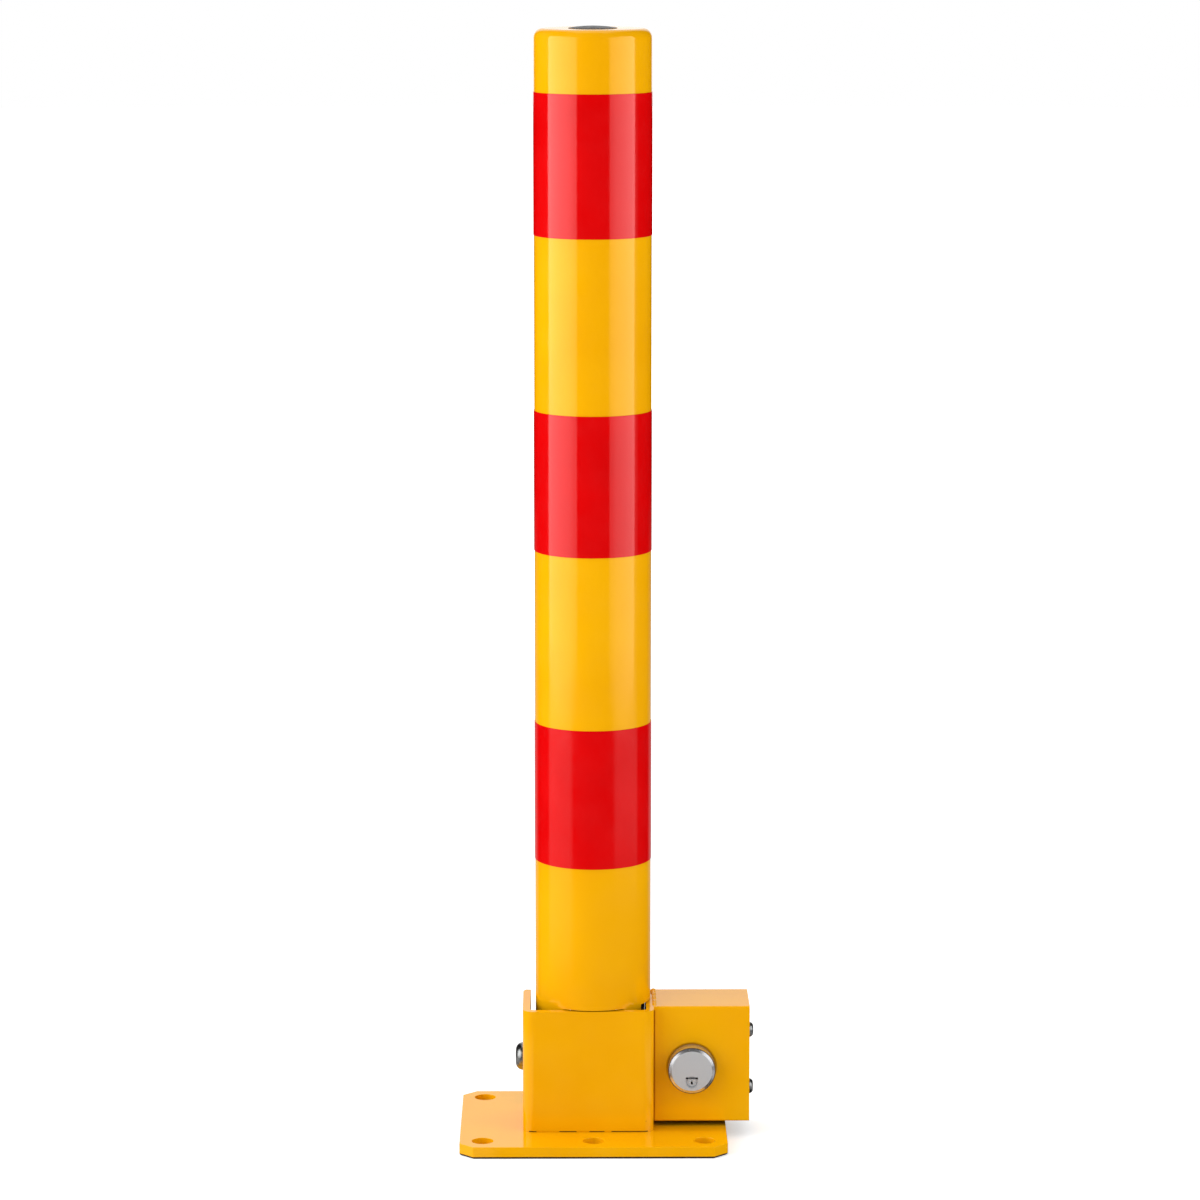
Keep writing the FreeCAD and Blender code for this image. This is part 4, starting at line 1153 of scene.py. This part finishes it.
def turn_barrel():
    low, high = corners("lock_barrel")
    radius, length = half_width("lock_barrel"), high.y - low.y
    seat = half_width("lock_spring") + SPRING_PLAY
    pin = half_width("lock_pin")
    seat_floor = length - SPRING_SEAT
    section = [(0, 0), (radius - LOCK_BEVEL, 0), (radius - RING, (LOCK_BEVEL - RING) / 2),
               (radius, LOCK_BEVEL / 2), (radius, length), (seat, length), (seat, seat_floor),
               (pin, seat_floor), (pin, seat_floor - PIN_SEAT), (0, seat_floor - PIN_SEAT)]
    barrel = turn_piece("barrel", section, (LOCK_AXIS.x, low.y, LOCK_AXIS.z), BACK, BARREL_STEPS)
    cut_pockets(barrel, low, high)
    break_edges(barrel, TURNED_EDGE, segments=2, sharper_than=50)
    two_finishes(barrel, POLISHED, SATIN,
                 lambda place, normal: normal.y < -FLAT_ON and place.y < low.y + SATIN_DEPTH)

    def dark(place, normal):
        """Painted shade: the outer edge of the rim, and what lies deeper than the recess."""
        edge = (place - LOCK_AXIS).xz.length > radius - RING and place.y < low.y + LOCK_BEVEL
        deep = low.y + RECESS_DEPTH + TOUCH < place.y < LATCH_LOW.y
        return edge or (deep and (place - KEY_AXIS).xz.length < SHADE_REACH)

    # Painted shade on the rim's outer edge and inside the recess.
    paint_faces(barrel, BARE_AND_SHADE, dark)
    finish_piece(barrel, "lock", "lock_chrome", "lock_barrel", smooth=20)


turn_barrel()

# %% [markdown]
# ## The key plug and the spring
# The key plug is a short turned pin. Its keyhole is drop-shaped: a block that is narrowed at its top and
# rounded below cuts it. A drive pin stands off centre on its tail and moves the latch. The spring behind
# the barrel is a coil of wire. A curve with a round bevel could be the wire, but the Screw modifier gives a
# mesh at once: it sweeps a small circle round the axis and along it. In the real lock the coil is squeezed
# against the sleeve's floor when the barrel is pushed in. Here it keeps its shape and stays with the frame.

# %% Make the key plug and the spring
KEYHOLE_HALF = 1 * MM
KEYHOLE_BELOW = 1.8 * MM
KEYHOLE_ABOVE = 1 * MM
KEYHOLE_DEEP = 7 * MM
KEYHOLE_TAPER = 0.2
KEYHOLE_ROUND = 0.85 * MM
KEYHOLE_STEPS = 6
KEY_EDGE = 0.25 * MM
KEY_STEPS = 64
DRIVE_RADIUS = 1 * MM
DRIVE_OFFSET = 2.2 * MM
DRIVE_SIDES = 32
SPRING_WIRE = 0.6 * MM
SPRING_TURNS = 3
SPRING_STEPS = 40
WIRE_SIDES = 16


def turn_key_plug():
    x, face, z = KEY_AXIS.x, KEY_LOW.y, KEY_AXIS.z
    tail = LATCH_LOW.y - PLAY
    section = [(0, 0), (KEY_RADIUS - KEY_EDGE, 0), (KEY_RADIUS, KEY_EDGE), (KEY_RADIUS, tail - face),
               (0, tail - face)]
    plug = turn_piece("turned_key_plug", section, (x, face, z), BACK, KEY_STEPS)
    keyhole = add_block("keyhole", (x - KEYHOLE_HALF, face - PAST, z - KEYHOLE_BELOW),
                        (x + KEYHOLE_HALF, face + KEYHOLE_DEEP, z + KEYHOLE_ABOVE))
    pick(keyhole, "FACE", lambda place, normal: normal.z > FACING)
    bpy.ops.transform.resize(value=(KEYHOLE_TAPER, 1, 1), center_override=(x, face, z + KEYHOLE_ABOVE))
    bevel_where(keyhole, KEYHOLE_ROUND, KEYHOLE_STEPS,
                lambda one, two: near(one.x, two.x) and near(one.z, two.z) and one.z < z)
    cut_away(plug, keyhole, shutter_slot())
    drive_x = x + DRIVE_OFFSET
    drive = add_rod("drive", (drive_x, tail - PLAY, z), (drive_x, KEY_HIGH.y, z), DRIVE_RADIUS, DRIVE_SIDES)
    combine(plug, drive, "UNION")
    plug.data.materials.append(SATIN.material)
    finish_piece(plug, "key", "lock_steel", "key_plug")


def wind_spring():
    low, high = corners("lock_spring")
    start_fresh()
    bpy.ops.mesh.primitive_circle_add(vertices=WIRE_SIDES, radius=SPRING_WIRE,
                                      location=(half_width("lock_spring") - SPRING_WIRE, 0, 0))
    spring = settle("coil_spring")
    apply_modifier(spring, "SCREW", axis="Y", angle=2 * math.pi * SPRING_TURNS,
                   steps=SPRING_TURNS * SPRING_STEPS, screw_offset=high.y - low.y - 2 * SPRING_WIRE)
    close_ends(spring, sides=WIRE_SIDES)
    bpy.ops.transform.translate(value=(LOCK_AXIS.x, low.y + SPRING_WIRE, LOCK_AXIS.z))
    settle("coil_spring")
    finish_piece(spring, "frame", "zinc_steel", "lock_spring", smooth=60)
    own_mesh(spring)
    print("spring from", round(low.y, 4), "to", round(high.y, 4))


turn_key_plug()
wind_spring()

# %% [markdown]
# ## Weld beads
# The bracket is welded to the plate along the insides of its cheeks, and the box to the right cheek, at the
# top and behind. A bead is a row of overlapping drops of molten steel. A tube would look too even, so each
# drop is a small ball, and no two neighbours are the same size. The balls are joined, a voxel remesh melts
# them into one skin, and Smooth lets the coat flow over it.

# %% Lay the beads
DROP_STEP = 0.9
DROP_UNEVEN = 0.3
DROP_RHYTHM = 2.4
DROP_SEGMENTS = 16
DROP_RINGS = 10
DROP_VOXELS = 5
FLOW = 0.5
FLOW_ROUNDS = 4
BEAD_SIZE = 1.7 * MM
BEAD_SUNK = 0.6 * MM
BEAD_INSET = 3 * MM
TOP_BEAD_SUNK = 1.3 * MM


def lay_bead(name, start, end):
    start, end = Vector(start), Vector(end)
    count = round((end - start).length / (BEAD_SIZE * DROP_STEP))
    drops = []
    for step in range(count + 1):
        start_fresh()
        radius = BEAD_SIZE * (1 + DROP_UNEVEN * math.sin(DROP_RHYTHM * step))
        bpy.ops.mesh.primitive_uv_sphere_add(segments=DROP_SEGMENTS, ring_count=DROP_RINGS, radius=radius,
                                             location=start.lerp(end, step / count))
        drops.append(settle(name))
    join(*drops)
    bead = drops[0]
    apply_modifier(bead, "REMESH", mode="VOXEL", voxel_size=BEAD_SIZE / DROP_VOXELS)
    apply_modifier(bead, "SMOOTH", factor=FLOW, iterations=FLOW_ROUNDS)
    finish_piece(bead, "frame", "yellow_paint", smooth=60)


def lay_beads():
    front, rear = BRACKET_LOW.y + SHEET + BEAD_INSET, BRACKET_HIGH.y - BEAD_INSET
    foot = BRACKET_LOW.z + BEAD_SUNK
    left, right = BRACKET_LOW.x + SHEET + BEAD_SUNK, BRACKET_HIGH.x - SHEET - BEAD_SUNK
    joint, behind, top = BOX_LOW.x + BEAD_SUNK, BOX_HIGH.y - BEAD_SUNK, BOX_HIGH.z - TOP_BEAD_SUNK
    lay_bead("left_foot_bead", (left, front, foot), (left, rear, foot))
    lay_bead("right_foot_bead", (right, front, foot), (right, rear, foot))
    lay_bead("box_top_bead", (joint, BOX_LOW.y + BEAD_INSET, top), (joint, behind, top))
    lay_bead("box_rear_bead", (joint, behind, BOX_LOW.z + BEAD_INSET), (joint, behind, HINGE.z + BEAD_INSET))


lay_beads()

# %% [markdown]
# ## Paint in the seam
# The bracket's front plate stands on the base plate with a hairline gap. The coat bridges it in places and
# leaves it open in others, so the foot of the plate shows a broken dark line. A real gap darkens by itself
# from every side, and the gap's bottom also has the dark bare finish as painted shade. Each bridged stretch
# is a thin bar in the gap with its edges rounded. The stretches run from left to right, in millimetres.

# %% Fill the seam in places
SEAM_FILLS = ((-37.4, -22.3), (-11.1, -2.6), (7.3, 11.9))
FILL_SET_BACK = 0.15 * MM
FILL_ROUND = 0.2 * MM


def fill_seam():
    bars = []
    for left, right in SEAM_FILLS:
        bar = add_block("seam_paint", (left * MM, BRACKET_LOW.y + FILL_SET_BACK, BRACKET_LOW.z),
                        (right * MM, BRACKET_LOW.y + SEAM_DEPTH, BRACKET_LOW.z + SEAM_HEIGHT))
        break_edges(bar, FILL_ROUND)
        bars.append(bar)
    join(*bars)
    finish_piece(bars[0], "frame", "yellow_paint")


fill_seam()
